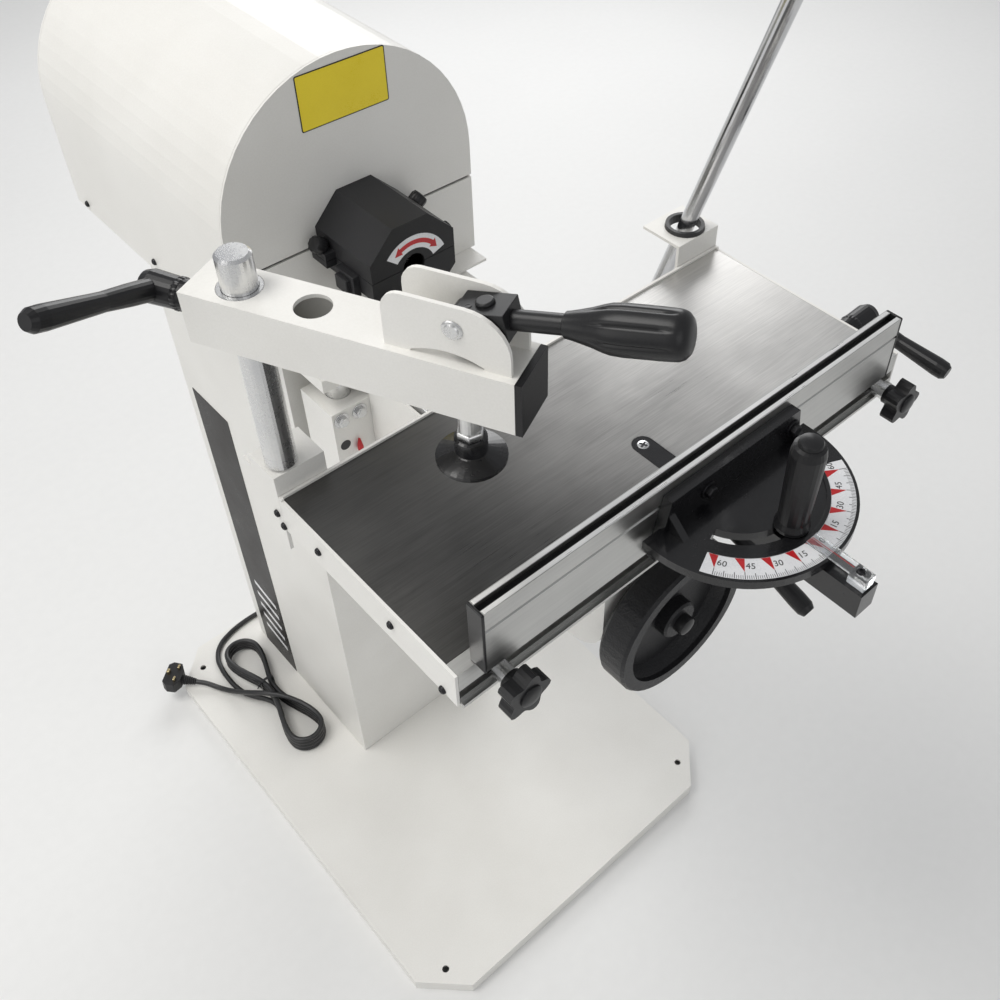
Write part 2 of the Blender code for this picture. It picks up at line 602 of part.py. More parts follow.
def front_rail():
    """Aluminium section with an undercut slot along its front and a lip below."""
    y0, y1 = TABLE_Y0, TABLE_Y0 + RAIL_DEPTH
    half, wide = RAIL_SLOT / 2, 0.0085
    z = RAIL_SLOT_Z
    outline = [
        (y1, APRON_Z), (y1, TABLE_Z - GAP), (y0, TABLE_Z - GAP), (y0, z + half), (y0 + 0.003, z + half),
        (y0 + 0.003, z + wide), (y0 + 0.008, z + wide), (y0 + 0.008, z - wide), (y0 + 0.003, z - wide),
        (y0 + 0.003, z - half), (y0, z - half), (y0, APRON_Z + 0.003), (y0 - 0.004, APRON_Z + 0.003),
        (y0 - 0.004, APRON_Z),
    ]
    x0, x1 = TABLE_X0 + APRON + GAP, TABLE_X1 - APRON - GAP
    section = prism(outline, on_yz(x0), x1 - x0)
    half_bar = BAR_W / 2 + GAP
    notch_z = (BAR_TOP - BAR_H - GAP, TABLE_Z + 0.01)
    notch = block((BAR_X - half_bar, BAR_X + half_bar), (y0 - 0.01, y1 + 0.01), notch_z)
    return piece("front_rail", "aluminium", [section], [notch])


def mitre_bar():
    """Flat bar in the table's slot, with a thicker block in front that carries the lock and the pointer."""
    round_end = BAR_BACK - BAR_W / 2
    half = BAR_W / 2
    outline = arc(BAR_X, round_end, half, 0, 180, 12)
    outline += [(BAR_X - half, BLOCK_BACK - 0.010), (BAR_X + half, BLOCK_BACK - 0.010)]
    bar = prism(outline, on_xy(BAR_TOP - BAR_H), BAR_H)
    thick = block((BAR_X - half, BAR_X + half), (BAR_FRONT, BLOCK_BACK), BLOCK_Z)
    sink = turned([(0.0022, -0.006), (0.0055, 0.001)], (BAR_X, BAR_BACK - 0.0094, BAR_TOP), (0, 0, 1), 20)
    thread = rod((BAR_X, LOCK_Y, BLOCK_Z[1] - 0.012), (BAR_X, LOCK_Y, BLOCK_Z[1] + 0.01), 0.0043, 16)
    return piece("mitre_bar", "black_casting", [bar, thick], [sink, thread])


def mitre_pointer():
    """Clear plastic pointer on the bar's block, reaching over the scale."""
    x = (BAR_X - 0.0058, BAR_X + 0.0058)
    front = BAR_FRONT + 0.002
    plate = block(x, (front, PIVOT_Y - 0.070), (PROTRACTOR_Z1 + 0.001, PROTRACTOR_Z1 + 0.003))
    leg = block(x, (front, front + 0.014), (BLOCK_Z[1] + GAP, PROTRACTOR_Z1 + 0.002))
    return piece("mitre_pointer", "clear_plastic", [plate, leg])


def mitre_head():
    """Half-disc protractor with a curved slot, and the upright face that carries the fence."""
    y = PIVOT_Y
    face_y = FENCE_Y0 - GAP
    straight = face_y - 0.004
    thickness = PROTRACTOR_Z1 - PROTRACTOR_Z0
    outline = arc(PIVOT_X, y, PROTRACTOR_R, 180, 360, 40)
    outline += [(PIVOT_X + PROTRACTOR_R, straight), (PIVOT_X - PROTRACTOR_R, straight)]
    disc = prism(outline, on_xy(PROTRACTOR_Z0), thickness)
    face_outline = [
        (PIVOT_X - 0.080, HEAD_Z0), (PIVOT_X + 0.084, HEAD_Z0),
        (PIVOT_X + 0.074, HEAD_TOP), (PIVOT_X - 0.068, HEAD_TOP),
    ]
    face = prism(face_outline, on_xz(face_y), 0.009)
    boss = rod((PIVOT_X, y, HEAD_Z0), (PIVOT_X, y, PROTRACTOR_Z0 + 0.002), 0.0085, 24)
    ribs = []
    rib_foot = PROTRACTOR_Z1 - 0.002
    for x in (-0.067, 0.071):
        rib_outline = [(face_y - 0.004, rib_foot), (y - 0.014, rib_foot), (face_y - 0.004, 0.896)]
        ribs.append(prism(rib_outline, on_yz(PIVOT_X + x - 0.003), 0.006))
    inner, outer = MITRE_SLOT_R - MITRE_SLOT / 2, MITRE_SLOT_R + MITRE_SLOT / 2
    slot_outline = arc(PIVOT_X, y, outer, 202, 338, 28) + arc(PIVOT_X, y, inner, 338, 202, 28)
    slot = prism(slot_outline, on_xy(PROTRACTOR_Z0 - 0.01), 0.04)
    pivot = (PIVOT_X, PIVOT_Y, HEAD_Z0)
    return piece("mitre_head", "black_casting", [disc, face, boss, *ribs], [slot], pivot=pivot)


def mitre_knob():
    """Tall grip that turns down on a stud in the bar's block and clamps the head."""
    z = PROTRACTOR_Z1 + 0.001
    stud = rod((BAR_X, LOCK_Y, BLOCK_Z[1] - 0.010), (BAR_X, LOCK_Y, z + 0.004), 0.0038, 16)
    grip = turned(
        [(0.0130, 0.0), (0.0133, 0.003), (0.0115, 0.008), (0.0120, 0.030), (0.0128, 0.060), (0.0128, 0.074),
         (0.0115, 0.080), (0.0060, 0.0825), (0.0020, 0.083)],
        (BAR_X, LOCK_Y, z), (0, 0, 1), 24,
    )
    return piece("mitre_knob", "black_plastic", [grip, stud], pivot=(BAR_X, LOCK_Y, z))


def fence():
    """Aluminium fence section: undercut slot along the top, groove along the front."""
    y0, y1, z0 = FENCE_Y0, FENCE_Y1, TABLE_Z + GAP
    z1 = z0 + FENCE_H
    mid = (y0 + y1) / 2
    outline = [
        (y1, z0), (y1, z1), (mid + 0.0032, z1), (mid + 0.0032, z1 - 0.003), (mid + 0.0052, z1 - 0.003),
        (mid + 0.0052, z1 - 0.008), (mid - 0.0052, z1 - 0.008), (mid - 0.0052, z1 - 0.003),
        (mid - 0.0032, z1 - 0.003), (mid - 0.0032, z1), (y0, z1), (y0, z1 - 0.0170),
        (y0 + 0.0016, z1 - 0.0178), (y0 + 0.0016, z1 - 0.0192), (y0, z1 - 0.0200), (y0, z0),
    ]
    section = prism(outline, on_yz(FENCE_X0), FENCE_X1 - FENCE_X0)
    return piece("fence", "aluminium", [section])


def stop_spacer(name, x):
    """T-nut in the rail's slot with a round spacer in front of it."""
    y = TABLE_Y0
    z = (RAIL_SLOT_Z - 0.0075, RAIL_SLOT_Z + 0.0075)
    nut = block((x - 0.007, x + 0.007), (y + 0.0035, y + 0.0075), z)
    neck = rod((x, y + 0.005, RAIL_SLOT_Z), (x, y - 0.004, RAIL_SLOT_Z), 0.0036, 20)
    spacer = rod((x, y - GAP, RAIL_SLOT_Z), (x, y - 0.0125, RAIL_SLOT_Z), 0.0075, 24)
    return piece(name, "bright_steel", [spacer, neck, nut])


def star_knob(name, x):
    """Five-lobed clamping knob."""
    points = []
    count = 40
    for i in range(count):
        angle = math.tau * i / count
        radius = KNOB_R * (0.84 + 0.16 * math.cos(5 * angle))
        points.append((x + radius * math.cos(angle), RAIL_SLOT_Z + radius * math.sin(angle)))
    y = TABLE_Y0 - 0.0125 - GAP
    hub = rod((x, y, RAIL_SLOT_Z), (x, y - 0.008, RAIL_SLOT_Z), 0.009, 24)
    star = prism(points, on_xz(y - 0.007), 0.013)
    return piece(name, "black_plastic", [star, hub], pivot=(x, y, RAIL_SLOT_Z))


# ---------------------------------------------------------------- clamping levers
def ratchet_lever(name, start, axis, tip, hub_len):
    """Indexing clamp lever: a short hub along its axis and a tapered handle leaving the hub's far end."""
    start, axis, tip = Vector(start), Vector(axis).normalized(), Vector(tip)
    hub = turned(
        [(0.0085, 0.0), (0.0095, 0.004), (0.0115, 0.014), (0.0125, hub_len - 0.006), (0.0105, hub_len)],
        start, axis, 24,
    )
    knee = start + axis * (hub_len - 0.010)
    reach = (tip - knee).length
    handle = turned(
        [(0.0085, 0.0), (0.0080, reach * 0.25), (0.0070, reach * 0.45), (0.0088, reach * 0.88),
         (0.0085, reach * 0.96), (0.0060, reach)],
        knee, tip - knee, 20,
    )
    return piece(name, "black_plastic", [hub, handle], pivot=tuple(start))


# ---------------------------------------------------------------- clamp on its post
def arm_frame():
    turn = math.atan2(ARM_DIR.y, ARM_DIR.x)
    return Matrix.Translation(ARM_END) @ Matrix.Rotation(turn, 4, "Z")


def arm_point(a, n, z):
    return arm_frame() @ Vector((a, n, z))


def clamp_post():
    post = rod((POST_X, POST_Y, 0.8723), (POST_X, POST_Y, POST_TOP), POST_R, 32, 0.002)
    stub = rod((POST_X, POST_Y, 0.830), (POST_X, POST_Y, 0.874), 0.0085, 24)
    return piece("clamp_post", "bright_steel", [post, stub])


def post_bracket():
    """White block behind the table's left corner that the post stands in."""
    x0, x1 = TABLE_X0, POST_X + 0.030
    y0, y1 = TABLE_Y1 + GAP, POST_Y + 0.024
    body = block((x0, x1), (y0, y1), (0.815, 0.872))
    wing = block((x0, x0 + 0.003), (y0, y1 + 0.012), (0.790, 0.860))
    bore = rod((POST_X, POST_Y, 0.8), (POST_X, POST_Y, 0.9), 0.0085 + GAP, 24)
    return piece("post_bracket", "white_paint", [body, wing], [bore])


def arm_bush():
    centre = arm_point(POST_AT, 0, 0)
    ring = rod((centre.x, centre.y, ARM_Z0), (centre.x, centre.y, ARM_Z1), POST_R + BUSH_WALL, 32)
    bore = rod((POST_X, POST_Y, 0.9), (POST_X, POST_Y, 1.1), POST_R + GAP, 32)
    return piece("arm_bush", "bright_steel", [ring], [bore], pivot=(POST_X, POST_Y, ARM_Z0))


def ear_outline():
    """Side plate of the cam, in (along the arm, height): two feet, an arched gap and a rounded top."""
    a0, a1 = CAM_AT - 0.048, CAM_AT + 0.038
    top, foot = CAM_Z + 0.017, ARM_Z1 - 0.002
    left = arc(a0 + 0.014, top - 0.014, 0.014, 180, 90, 6)
    right = arc(a1 - EAR_ROUND, top - EAR_ROUND, EAR_ROUND, 90, 0, 8)
    gap0, gap1 = a0 + 0.018, a1 - 0.018
    span = gap1 - gap0
    under = []
    for i in range(9):
        t = i / 8
        under.append((gap1 - span * t, ARM_Z1 + 0.0015 + 4 * EAR_GAP_RISE * t * (1 - t)))
    return [(a0, foot)] + left + right + [(a1, foot), (gap1, foot)] + under + [(gap0, foot)]


def clamp_arm():
    """Square tube with two upright side plates welded on for the cam."""
    a_tube = block((0.0, ARM_LEN), (-ARM_W / 2, ARM_W / 2), (ARM_Z0, ARM_Z1))
    half = ARM_W / 2
    inside_z = (ARM_Z0 + ARM_WALL, ARM_Z1 - ARM_WALL)
    hollow = block((-0.01, ARM_LEN + 0.01), (-half + ARM_WALL, half - ARM_WALL), inside_z)
    end_wall = block((0.0, ARM_WALL), (-half + 0.001, half - 0.001), (ARM_Z0 + 0.001, ARM_Z1 - 0.001))
    tube = piece("tube", "white_paint", [a_tube], [hollow])
    ears = []
    for side in (-1, 1):
        n0 = EAR_IN if side > 0 else -EAR_IN - EAR
        frame = Matrix(((1, 0, 0, 0), (0, 0, 1, n0), (0, 1, 0, 0), (0, 0, 0, 1)))
        ears.append(prism(ear_outline(), frame, EAR))
    cuts = [
        rod((POST_AT, 0, 0.9), (POST_AT, 0, 1.1), POST_R + BUSH_WALL + GAP, 32),
        rod((HOLE_AT, 0, 0.9), (HOLE_AT, 0, 1.1), 0.013, 28),
        rod((CAM_AT, 0, 0.9), (CAM_AT, 0, ARM_Z1 + 0.002), 0.0085, 24),
        rod((CAM_AT, -0.1, CAM_Z), (CAM_AT, 0.1, CAM_Z), 0.0050 + GAP, 20),
        rod((-0.01, 0, ARM_Z0 + ARM_W / 2), (0.01, 0, ARM_Z0 + ARM_W / 2), 0.0043, 16),
    ]
    pivot = (POST_X, POST_Y, ARM_Z0)
    return piece("clamp_arm", "white_paint", [tube, end_wall, *ears], cuts, place=arm_frame(), pivot=pivot)


def arm_end_cap():
    plate = block((ARM_LEN + GAP, ARM_LEN + 0.005), (-ARM_W / 2, ARM_W / 2), (ARM_Z0, ARM_Z1))
    plug_part = block(
        (ARM_LEN - 0.012, ARM_LEN + 0.001),
        (-ARM_W / 2 + ARM_WALL + GAP, ARM_W / 2 - ARM_WALL - GAP),
        (ARM_Z0 + ARM_WALL + GAP, ARM_Z1 - ARM_WALL - GAP),
    )
    pivot = (POST_X, POST_Y, ARM_Z0)
    return piece("arm_end_cap", "black_plastic", [plate, plug_part], place=arm_frame(), pivot=pivot)


def cam_lever():
    """Cam, its pin, the square shoulder, the shaft and the long grip."""
    pin = rod((CAM_AT, -EAR_IN - EAR - 0.003, CAM_Z), (CAM_AT, EAR_IN + EAR + 0.003, CAM_Z), 0.0050, 20)
    low = CAM_Z - CAM_OFFSET
    cam = rod((CAM_AT, -EAR_IN + 0.0008, low), (CAM_AT, EAR_IN - 0.0008, low), CAM_RADIUS, 28)
    lean = Vector((math.cos(CAM_TILT), 0, math.sin(CAM_TILT)))
    start = Vector((CAM_AT, 0, CAM_Z))
    shoulder = block((0.0, 0.034), (-EAR_IN + 0.0008, EAR_IN - 0.0008), (-0.0095, 0.0105))
    shoulder.data.transform(Matrix.Translation(start) @ Matrix.Rotation(-CAM_TILT, 4, "Y"))
    shaft = rod(start + lean * 0.030, start + lean * 0.075, 0.0065, 20)
    grip = turned(
        [(0.0095, 0.0), (0.0130, 0.010), (0.0155, 0.030), (0.0155, 0.058), (0.0145, 0.070), (0.0095, 0.077)],
        start + lean * 0.068, lean, 24,
    )
    pivot = tuple(arm_frame() @ start)
    solids = [cam, pin, shoulder, shaft, grip]
    return piece("cam_lever", "black_plastic", solids, place=arm_frame(), pivot=pivot)


def clamp_spindle():
    top = CAM_Z - CAM_OFFSET - CAM_RADIUS - 0.0020
    body = rod((CAM_AT, 0, FOOT_Z + 0.014), (CAM_AT, 0, top), 0.0078, 24, 0.001)
    pivot = tuple(arm_point(CAM_AT, 0, FOOT_Z))
    return piece("clamp_spindle", "bright_steel", [body], place=arm_frame(), pivot=pivot)


def clamp_foot():
    foot = turned(
        [(FOOT_R - 0.001, 0.0), (FOOT_R, 0.0015), (FOOT_R, 0.004), (0.0125, 0.0085), (0.0115, 0.0090),
         (0.0115, 0.0205), (0.0100, 0.0215)],
        (CAM_AT, 0, FOOT_Z), (0, 0, 1), 32,
    )
    socket = rod((CAM_AT, 0, FOOT_Z + 0.014 - GAP), (CAM_AT, 0, FOOT_Z + 0.05), 0.0078 + GAP, 24)
    pivot = tuple(arm_point(CAM_AT, 0, FOOT_Z))
    return piece("clamp_foot", "black_plastic", [foot], [socket], place=arm_frame(), pivot=pivot)


# ---------------------------------------------------------------- joystick for the cross slides
def stick_frame():
    """Frame at the lower pivot: Z along the rod, X along the table, Y across both."""
    tilt = math.atan(STICK_LEAN)
    return Matrix.Translation(STICK_PIVOT) @ Matrix.Rotation(tilt, 4, "X")


def joystick_bracket():
    """Arm from the knee's right side to the joystick's lower joint, with its trunnion."""
    x0 = KNEE_HALF + GAP
    plate = block((x0, x0 + 0.006), (-0.150, -0.070), (0.590, 0.760))
    y, z = STICK_PIVOT.y, STICK_PIVOT.z
    bar = block((x0 + 0.003, STICK_X - 0.036), (y - 0.014, y + 0.014), (z - 0.010, z + 0.010))
    trunnion = rod((STICK_X - 0.040, y, z), (STICK_X - 0.0215, y, z), 0.005, 20)
    return piece("joystick_bracket", "white_paint", [plate, bar, trunnion])


def joystick_yoke():
    ring = rod((-0.0350, 0, 0), (-0.0200, 0, 0), 0.012, 24)
    back = block((-0.0215, -0.0170), (-0.016, 0.016), (-0.012, 0.012))
    cheeks = []
    for side in (-1, 1):
        cheeks.append(block((-0.0215, 0.011), sorted((side * 0.0105, side * 0.0155)), (-0.0095, 0.0095)))
    pin = rod((0, -0.0150, 0), (0, 0.0150, 0), 0.003, 16)
    bore = rod((-0.05, 0, 0), (-0.0207, 0, 0), 0.005 + GAP, 20)
    solids = [ring, back, *cheeks, pin]
    pivot = tuple(STICK_PIVOT)
    return piece("joystick_yoke", "bright_steel", solids, [bore], place=stick_frame(), pivot=pivot)


def joystick_rod():
    eye = rod((0, -0.0100, 0), (0, 0.0100, 0), 0.0085, 24)
    shaft = rod((0, 0, 0.002), (0, 0, STICK_LEN), STICK_R, 24)
    bore = rod((0, -0.02, 0), (0, 0.02, 0), 0.0034, 16)
    ball_profile = []
    steps = 10
    for i in range(steps + 1):
        angle = math.radians(-68 + (150 * i / steps))
        ball_profile.append((BALL_R * math.cos(angle), STICK_LEN + 0.010 + BALL_R * math.sin(angle)))
    ball = turned(ball_profile, (0, 0, 0), (0, 0, 1), 24)
    solids = [shaft, eye, ball]
    pivot = tuple(STICK_PIVOT)
    return piece("joystick_rod", "bright_steel", solids, [bore], place=stick_frame(), pivot=pivot)


def stick_at(z):
    """Y of the rod's middle at height z."""
    return STICK_PIVOT.y - STICK_LEAN * (z - STICK_PIVOT.z)


def rod_bracket():
    """Bent sheet behind the table's right end, with the hole that the joystick passes through."""
    y0, y1 = TABLE_Y1 + GAP, -0.163
    x0, x1 = STICK_X - 0.029, TABLE_X1
    leg = block((x0, x1), (y0, y0 + 0.003), (0.818, BRACKET_Z + 0.003))
    shelf = block((x0, x1), (y0, y1), (BRACKET_Z, BRACKET_Z + 0.003))
    y = stick_at(BRACKET_Z)
    hole = rod((STICK_X, y, 0.85), (STICK_X, y, 0.9), BUSH_R + 0.0015 + GAP, 28)
    return piece("rod_bracket", "white_paint", [leg, shelf], [hole])


def rod_grommet():
    y = stick_at(BRACKET_Z)
    neck, flange = BUSH_R + 0.0015, BUSH_R + 0.0042
    profile = [(neck, -0.002), (neck, 0.003 + GAP), (flange, 0.0034), (flange - 0.0007, 0.0072)]
    body = turned(profile, (STICK_X, y, BRACKET_Z), (0, 0, 1), 28)
    bore = rod((STICK_X, y, 0.85), (STICK_X, y, 0.9), BUSH_R, 28)
    return piece("rod_grommet", "black_rubber", [body], [bore])


# ---------------------------------------------------------------- electrics and power cord
def electrics_box():
    body = block(BOX_X, BOX_Y, BOX_Z)
    return piece("electrics_box", "black_plastic", [body], bevel=0.002)


def cord_gland():
    """Tapered strain relief that points down out of the electrics box."""
    z = BOX_Z[0] - GAP
    profile = [(0.0100, 0.0), (0.0100, 0.005), (0.0085, 0.006), (0.0055, GLAND_LEN)]
    body = turned(profile, (GLAND_X, GLAND_Y, z), (0, 0, -1), 20)
    return piece("cord_gland", "black_rubber", [body])


def smooth_route(route, spacing):
    """Catmull-Rom curve through the route, read at about even steps."""
    points = [Vector(p) for p in route]
    points = [points[0] * 2 - points[1]] + points + [points[-1] * 2 - points[-2]]
    fine = []
    for p0, p1, p2, p3 in zip(points, points[1:], points[2:], points[3:]):
        for i in range(20):
            t = i / 20
            fine.append(0.5 * (2 * p1 + (p2 - p0) * t + (2 * p0 - 5 * p1 + 4 * p2 - p3) * t * t
                               + (3 * p1 - p0 - 3 * p2 + p3) * t ** 3))
    fine.append(points[-2])
    length = sum((b - a).length for a, b in zip(fine, fine[1:]))
    count = max(2, round(length / spacing))
    kept, run, target = [fine[0]], 0.0, length / count
    for a, b in zip(fine, fine[1:]):
        run += (b - a).length
        if run >= target - 1e-9 and len(kept) < count:
            kept.append(b)
            target = length * len(kept) / count
    kept.append(fine[-1])
    return kept


def cord_tube(name, route):
    curve = bpy.data.curves.new(name, "CURVE")
    curve.dimensions = "3D"
    curve.bevel_depth = CORD_R
    curve.bevel_resolution = 2
    curve.use_fill_caps = True
    points = smooth_route(route, 0.018)
    spline = curve.splines.new("POLY")
    spline.points.add(len(points) - 1)
    for target, point in zip(spline.points, points):
        target.co = (*point, 1.0)
    curve.materials.append(material("black_rubber"))
    obj = bpy.data.objects.new(name, curve)
    bpy.context.collection.objects.link(obj)
    return obj


def hank_outline():
    """Bow-tie outline: two round loops and a pinched waist."""
    ends = arc(HANK_X, HANK_Y1, HANK_R, 0, 180, 12)
    left = [(HANK_X - HANK_WAIST, HANK_WAIST_Y + 0.012), (HANK_X - HANK_WAIST, HANK_WAIST_Y - 0.012)]
    lower = arc(HANK_X, HANK_Y0, HANK_R, 180, 360, 12)
    right = [(HANK_X + HANK_WAIST, HANK_WAIST_Y - 0.012), (HANK_X + HANK_WAIST, HANK_WAIST_Y + 0.012)]
    return ends + left + lower + right


def cord_hank():
    body = prism(hank_outline(), on_xy(BASE_TOP + GAP), HANK_H)
    return piece("cord_hank", "black_rubber", [body])


def plug():
    """Mains plug lying over the tray's edge, with its ribbed strain relief."""
    end = Vector(TAIL_ROUTE[-1])
    direction = (end - Vector(TAIL_ROUTE[-2])).normalized()
    start = end + direction * GAP
    relief = turned([(0.0050, 0.0), (0.0070, 0.018), (0.0085, 0.020)], start, direction, 16)
    head = block((-0.020, 0.020), (-0.0085, 0.0150), (0.018, 0.046))
    side = Vector((0, 0, 1)).cross(direction)
    up = Vector((0, 0, 1))
    frame = Matrix((
        (side.x, up.x, direction.x, start.x), (side.y, up.y, direction.y, start.y),
        (side.z, up.z, direction.z, start.z), (0, 0, 0, 1),
    ))
    head.data.transform(frame)
    return piece("plug", "black_plastic", [head, relief])


# ---------------------------------------------------------------- the whole machine
def build():
    clear_scene()
    base_tray()
    column_shell()
    deck_plate()
    hood_shell()
    hood_front_panel()
    lower_front_panel()
    hood_rear_panel()
    motor_body()
    spindle_shaft()
    chuck()
    guard_half("guard_upper", 1)
    guard_half("guard_lower", -1)
    leadscrew()
    guide_rod("guide_rod_left", -GUIDE_X)
    guide_rod("guide_rod_right", GUIDE_X)
    knee_box()
    knee_front_plate()
    knee_carriage()
    y_rod("y_rod_left", -Y_ROD_X)
    y_rod("y_rod_right", Y_ROD_X)
    lift_nut()
    wheel_shaft()
    handwheel()
    saddle_body()
    table_plate()
    table_apron()
    x_rod("x_rod_front", X_ROD_Y[0])
    x_rod("x_rod_rear", X_ROD_Y[1])
    front_rail()
    mitre_bar()
    mitre_pointer()
    mitre_head()
    mitre_knob()
    fence()
    for side, x in zip(("left", "right"), STOP_X):
        stop_spacer("stop_" + side, x)
        star_knob("stop_knob_" + side, x)
    clamp_post()
    post_bracket()
    arm_bush()
    clamp_arm()
    arm_end_cap()
    cam_lever()
    clamp_spindle()
    clamp_foot()
    arm_back = arm_point(-GAP, 0, ARM_Z0 + ARM_W / 2)
    ratchet_lever("arm_lock_lever", arm_back, -ARM_DIR, (-0.352, -0.171, 1.059), 0.045)
    table_side, knee_side = (TABLE_X1 + GAP, -0.366, 0.834), (KNEE_HALF + GAP, -0.374, 0.735)
    ratchet_lever("table_lock_lever", table_side, (1, 0, 0), (0.302, -0.457, 0.822), 0.045)
    ratchet_lever("height_lock_lever", knee_side, (1, 0, 0), (0.092, -0.494, 0.690), 0.036)
    joystick_bracket()
    joystick_yoke()
    joystick_rod()
    rod_bracket()
    rod_grommet()
    electrics_box()
    cord_gland()
    cord_tube("power_cord", CORD_ROUTE)
    cord_hank()
    cord_tube("cord_tail", TAIL_ROUTE)
    plug()


build()
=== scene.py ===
"""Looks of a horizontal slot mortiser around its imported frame: materials, small parts, cord, stage."""
import json
import math

import bpy
from mathutils import Matrix, Vector


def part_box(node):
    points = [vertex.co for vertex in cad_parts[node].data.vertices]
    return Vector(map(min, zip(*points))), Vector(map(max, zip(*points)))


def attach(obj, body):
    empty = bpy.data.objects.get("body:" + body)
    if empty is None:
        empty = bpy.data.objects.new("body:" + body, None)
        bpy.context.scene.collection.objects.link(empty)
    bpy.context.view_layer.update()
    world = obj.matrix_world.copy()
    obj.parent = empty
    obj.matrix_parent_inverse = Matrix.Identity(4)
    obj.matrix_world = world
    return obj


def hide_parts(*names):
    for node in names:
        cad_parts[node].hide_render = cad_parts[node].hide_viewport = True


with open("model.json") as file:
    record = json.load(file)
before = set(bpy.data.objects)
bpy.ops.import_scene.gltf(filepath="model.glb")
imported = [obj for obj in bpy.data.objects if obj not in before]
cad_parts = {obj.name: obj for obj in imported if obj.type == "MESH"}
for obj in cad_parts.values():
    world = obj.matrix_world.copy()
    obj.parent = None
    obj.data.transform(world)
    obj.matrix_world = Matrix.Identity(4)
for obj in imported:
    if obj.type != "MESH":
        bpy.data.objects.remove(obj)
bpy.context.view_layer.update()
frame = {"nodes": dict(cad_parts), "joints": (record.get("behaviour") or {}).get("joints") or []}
nodes = frame["nodes"]

# ---------------------------------------------------------------- camera
camera_data = bpy.data.cameras.new("camera")
camera_data.sensor_width = 36.0
camera_data.lens = 39.75
camera_data.shift_x = -0.0542
camera_data.shift_y = -0.0573
camera_data.clip_start = 0.05
camera_data.clip_end = 60.0
camera = bpy.data.objects.new("camera", camera_data)
CAMERA_RIGHT = (0.7391, -0.6735, 0.0082)
CAMERA_UP = (0.4717, 0.5264, 0.7072)
CAMERA_FORWARD = (0.4807, 0.5189, -0.7068)
CAMERA_AT = (-0.4699, -0.7684, 1.4799)
turn = Matrix((CAMERA_RIGHT, CAMERA_UP, [-c for c in CAMERA_FORWARD])).transposed().to_4x4()
camera.matrix_world = Matrix.Translation(CAMERA_AT) @ turn
bpy.context.collection.objects.link(camera)
bpy.context.scene.camera = camera


# ---------------------------------------------------------------- materials
def surface(name, light, dark, rough, metallic=0.0, mottle=9.0, grain=700.0, bump=0.12, depth=0.0002,
            rough_spread=0.06, stretch=(1.0, 1.0, 1.0), fixed=(), ramp=(0.35, 0.65)):
    """Principled surface: two tones mixed by a broad noise, roughness and bump from a fine one."""
    made = bpy.data.materials.new(name)
    made.use_nodes = True
    tree = made.node_tree
    link = tree.links.new
    shader = tree.nodes["Principled BSDF"]
    place = tree.nodes.new("ShaderNodeTexCoord")
    scale = tree.nodes.new("ShaderNodeMapping")
    scale.inputs["Scale"].default_value = stretch
    link(place.outputs["Object"], scale.inputs["Vector"])
    broad = tree.nodes.new("ShaderNodeTexNoise")
    broad.inputs["Scale"].default_value = mottle
    broad.inputs["Detail"].default_value = 5.0
    fine = tree.nodes.new("ShaderNodeTexNoise")
    fine.inputs["Scale"].default_value = grain
    fine.inputs["Detail"].default_value = 3.0
    link(place.outputs["Object"], broad.inputs["Vector"])
    link(scale.outputs["Vector"], fine.inputs["Vector"])
    tones = tree.nodes.new("ShaderNodeValToRGB")
    tones.color_ramp.elements[0].position, tones.color_ramp.elements[1].position = ramp
    tones.color_ramp.elements[0].color = (*dark, 1.0)
    tones.color_ramp.elements[1].color = (*light, 1.0)
    both = tree.nodes.new("ShaderNodeMix")
    both.inputs["Factor"].default_value = 0.35
    link(broad.outputs["Fac"], both.inputs["A"])
    link(fine.outputs["Fac"], both.inputs["B"])
    link(both.outputs["Result"], tones.inputs["Fac"])
    link(tones.outputs["Color"], shader.inputs["Base Color"])
    gloss = tree.nodes.new("ShaderNodeMapRange")
    gloss.inputs["From Min"].default_value = 0.3
    gloss.inputs["From Max"].default_value = 0.7
    gloss.inputs["To Min"].default_value = max(0.02, rough - rough_spread)
    gloss.inputs["To Max"].default_value = rough + rough_spread
    link(both.outputs["Result"], gloss.inputs["Value"])
    link(gloss.outputs["Result"], shader.inputs["Roughness"])
    relief = tree.nodes.new("ShaderNodeBump")
    relief.inputs["Strength"].default_value = bump
    relief.inputs["Distance"].default_value = depth
    link(fine.outputs["Fac"], relief.inputs["Height"])
    link(relief.outputs["Normal"], shader.inputs["Normal"])
    shader.inputs["Metallic"].default_value = metallic
    for socket, value in fixed:
        shader.inputs[socket].default_value = value
    return made


def shade_along_x(material, low_x, high_x, low, high):
    """Painted reflection: scale the base colour smoothly along X, from low at low_x to high at high_x."""
    tree = material.node_tree
    link = tree.links.new
    where = tree.nodes.new("ShaderNodeSeparateXYZ")
    link(tree.nodes["Texture Coordinate"].outputs["Object"], where.inputs["Vector"])
    # Painted reflection: this factor darkens the steel towards low X, as if it mirrored dark surroundings.
    painted_reflection = tree.nodes.new("ShaderNodeMapRange")
    painted_reflection.interpolation_type = "SMOOTHSTEP"
    for socket, value in (("From Min", low_x), ("From Max", high_x), ("To Min", low), ("To Max", high)):
        painted_reflection.inputs[socket].default_value = value
    link(where.outputs["X"], painted_reflection.inputs["Value"])
    scaled = tree.nodes.new("ShaderNodeVectorMath")
    scaled.operation = "SCALE"
    link(tree.nodes["Color Ramp"].outputs["Color"], scaled.inputs["Vector"])
    link(painted_reflection.outputs["Result"], scaled.inputs["Scale"])
    link(scaled.outputs["Vector"], tree.nodes["Principled BSDF"].inputs["Base Color"])


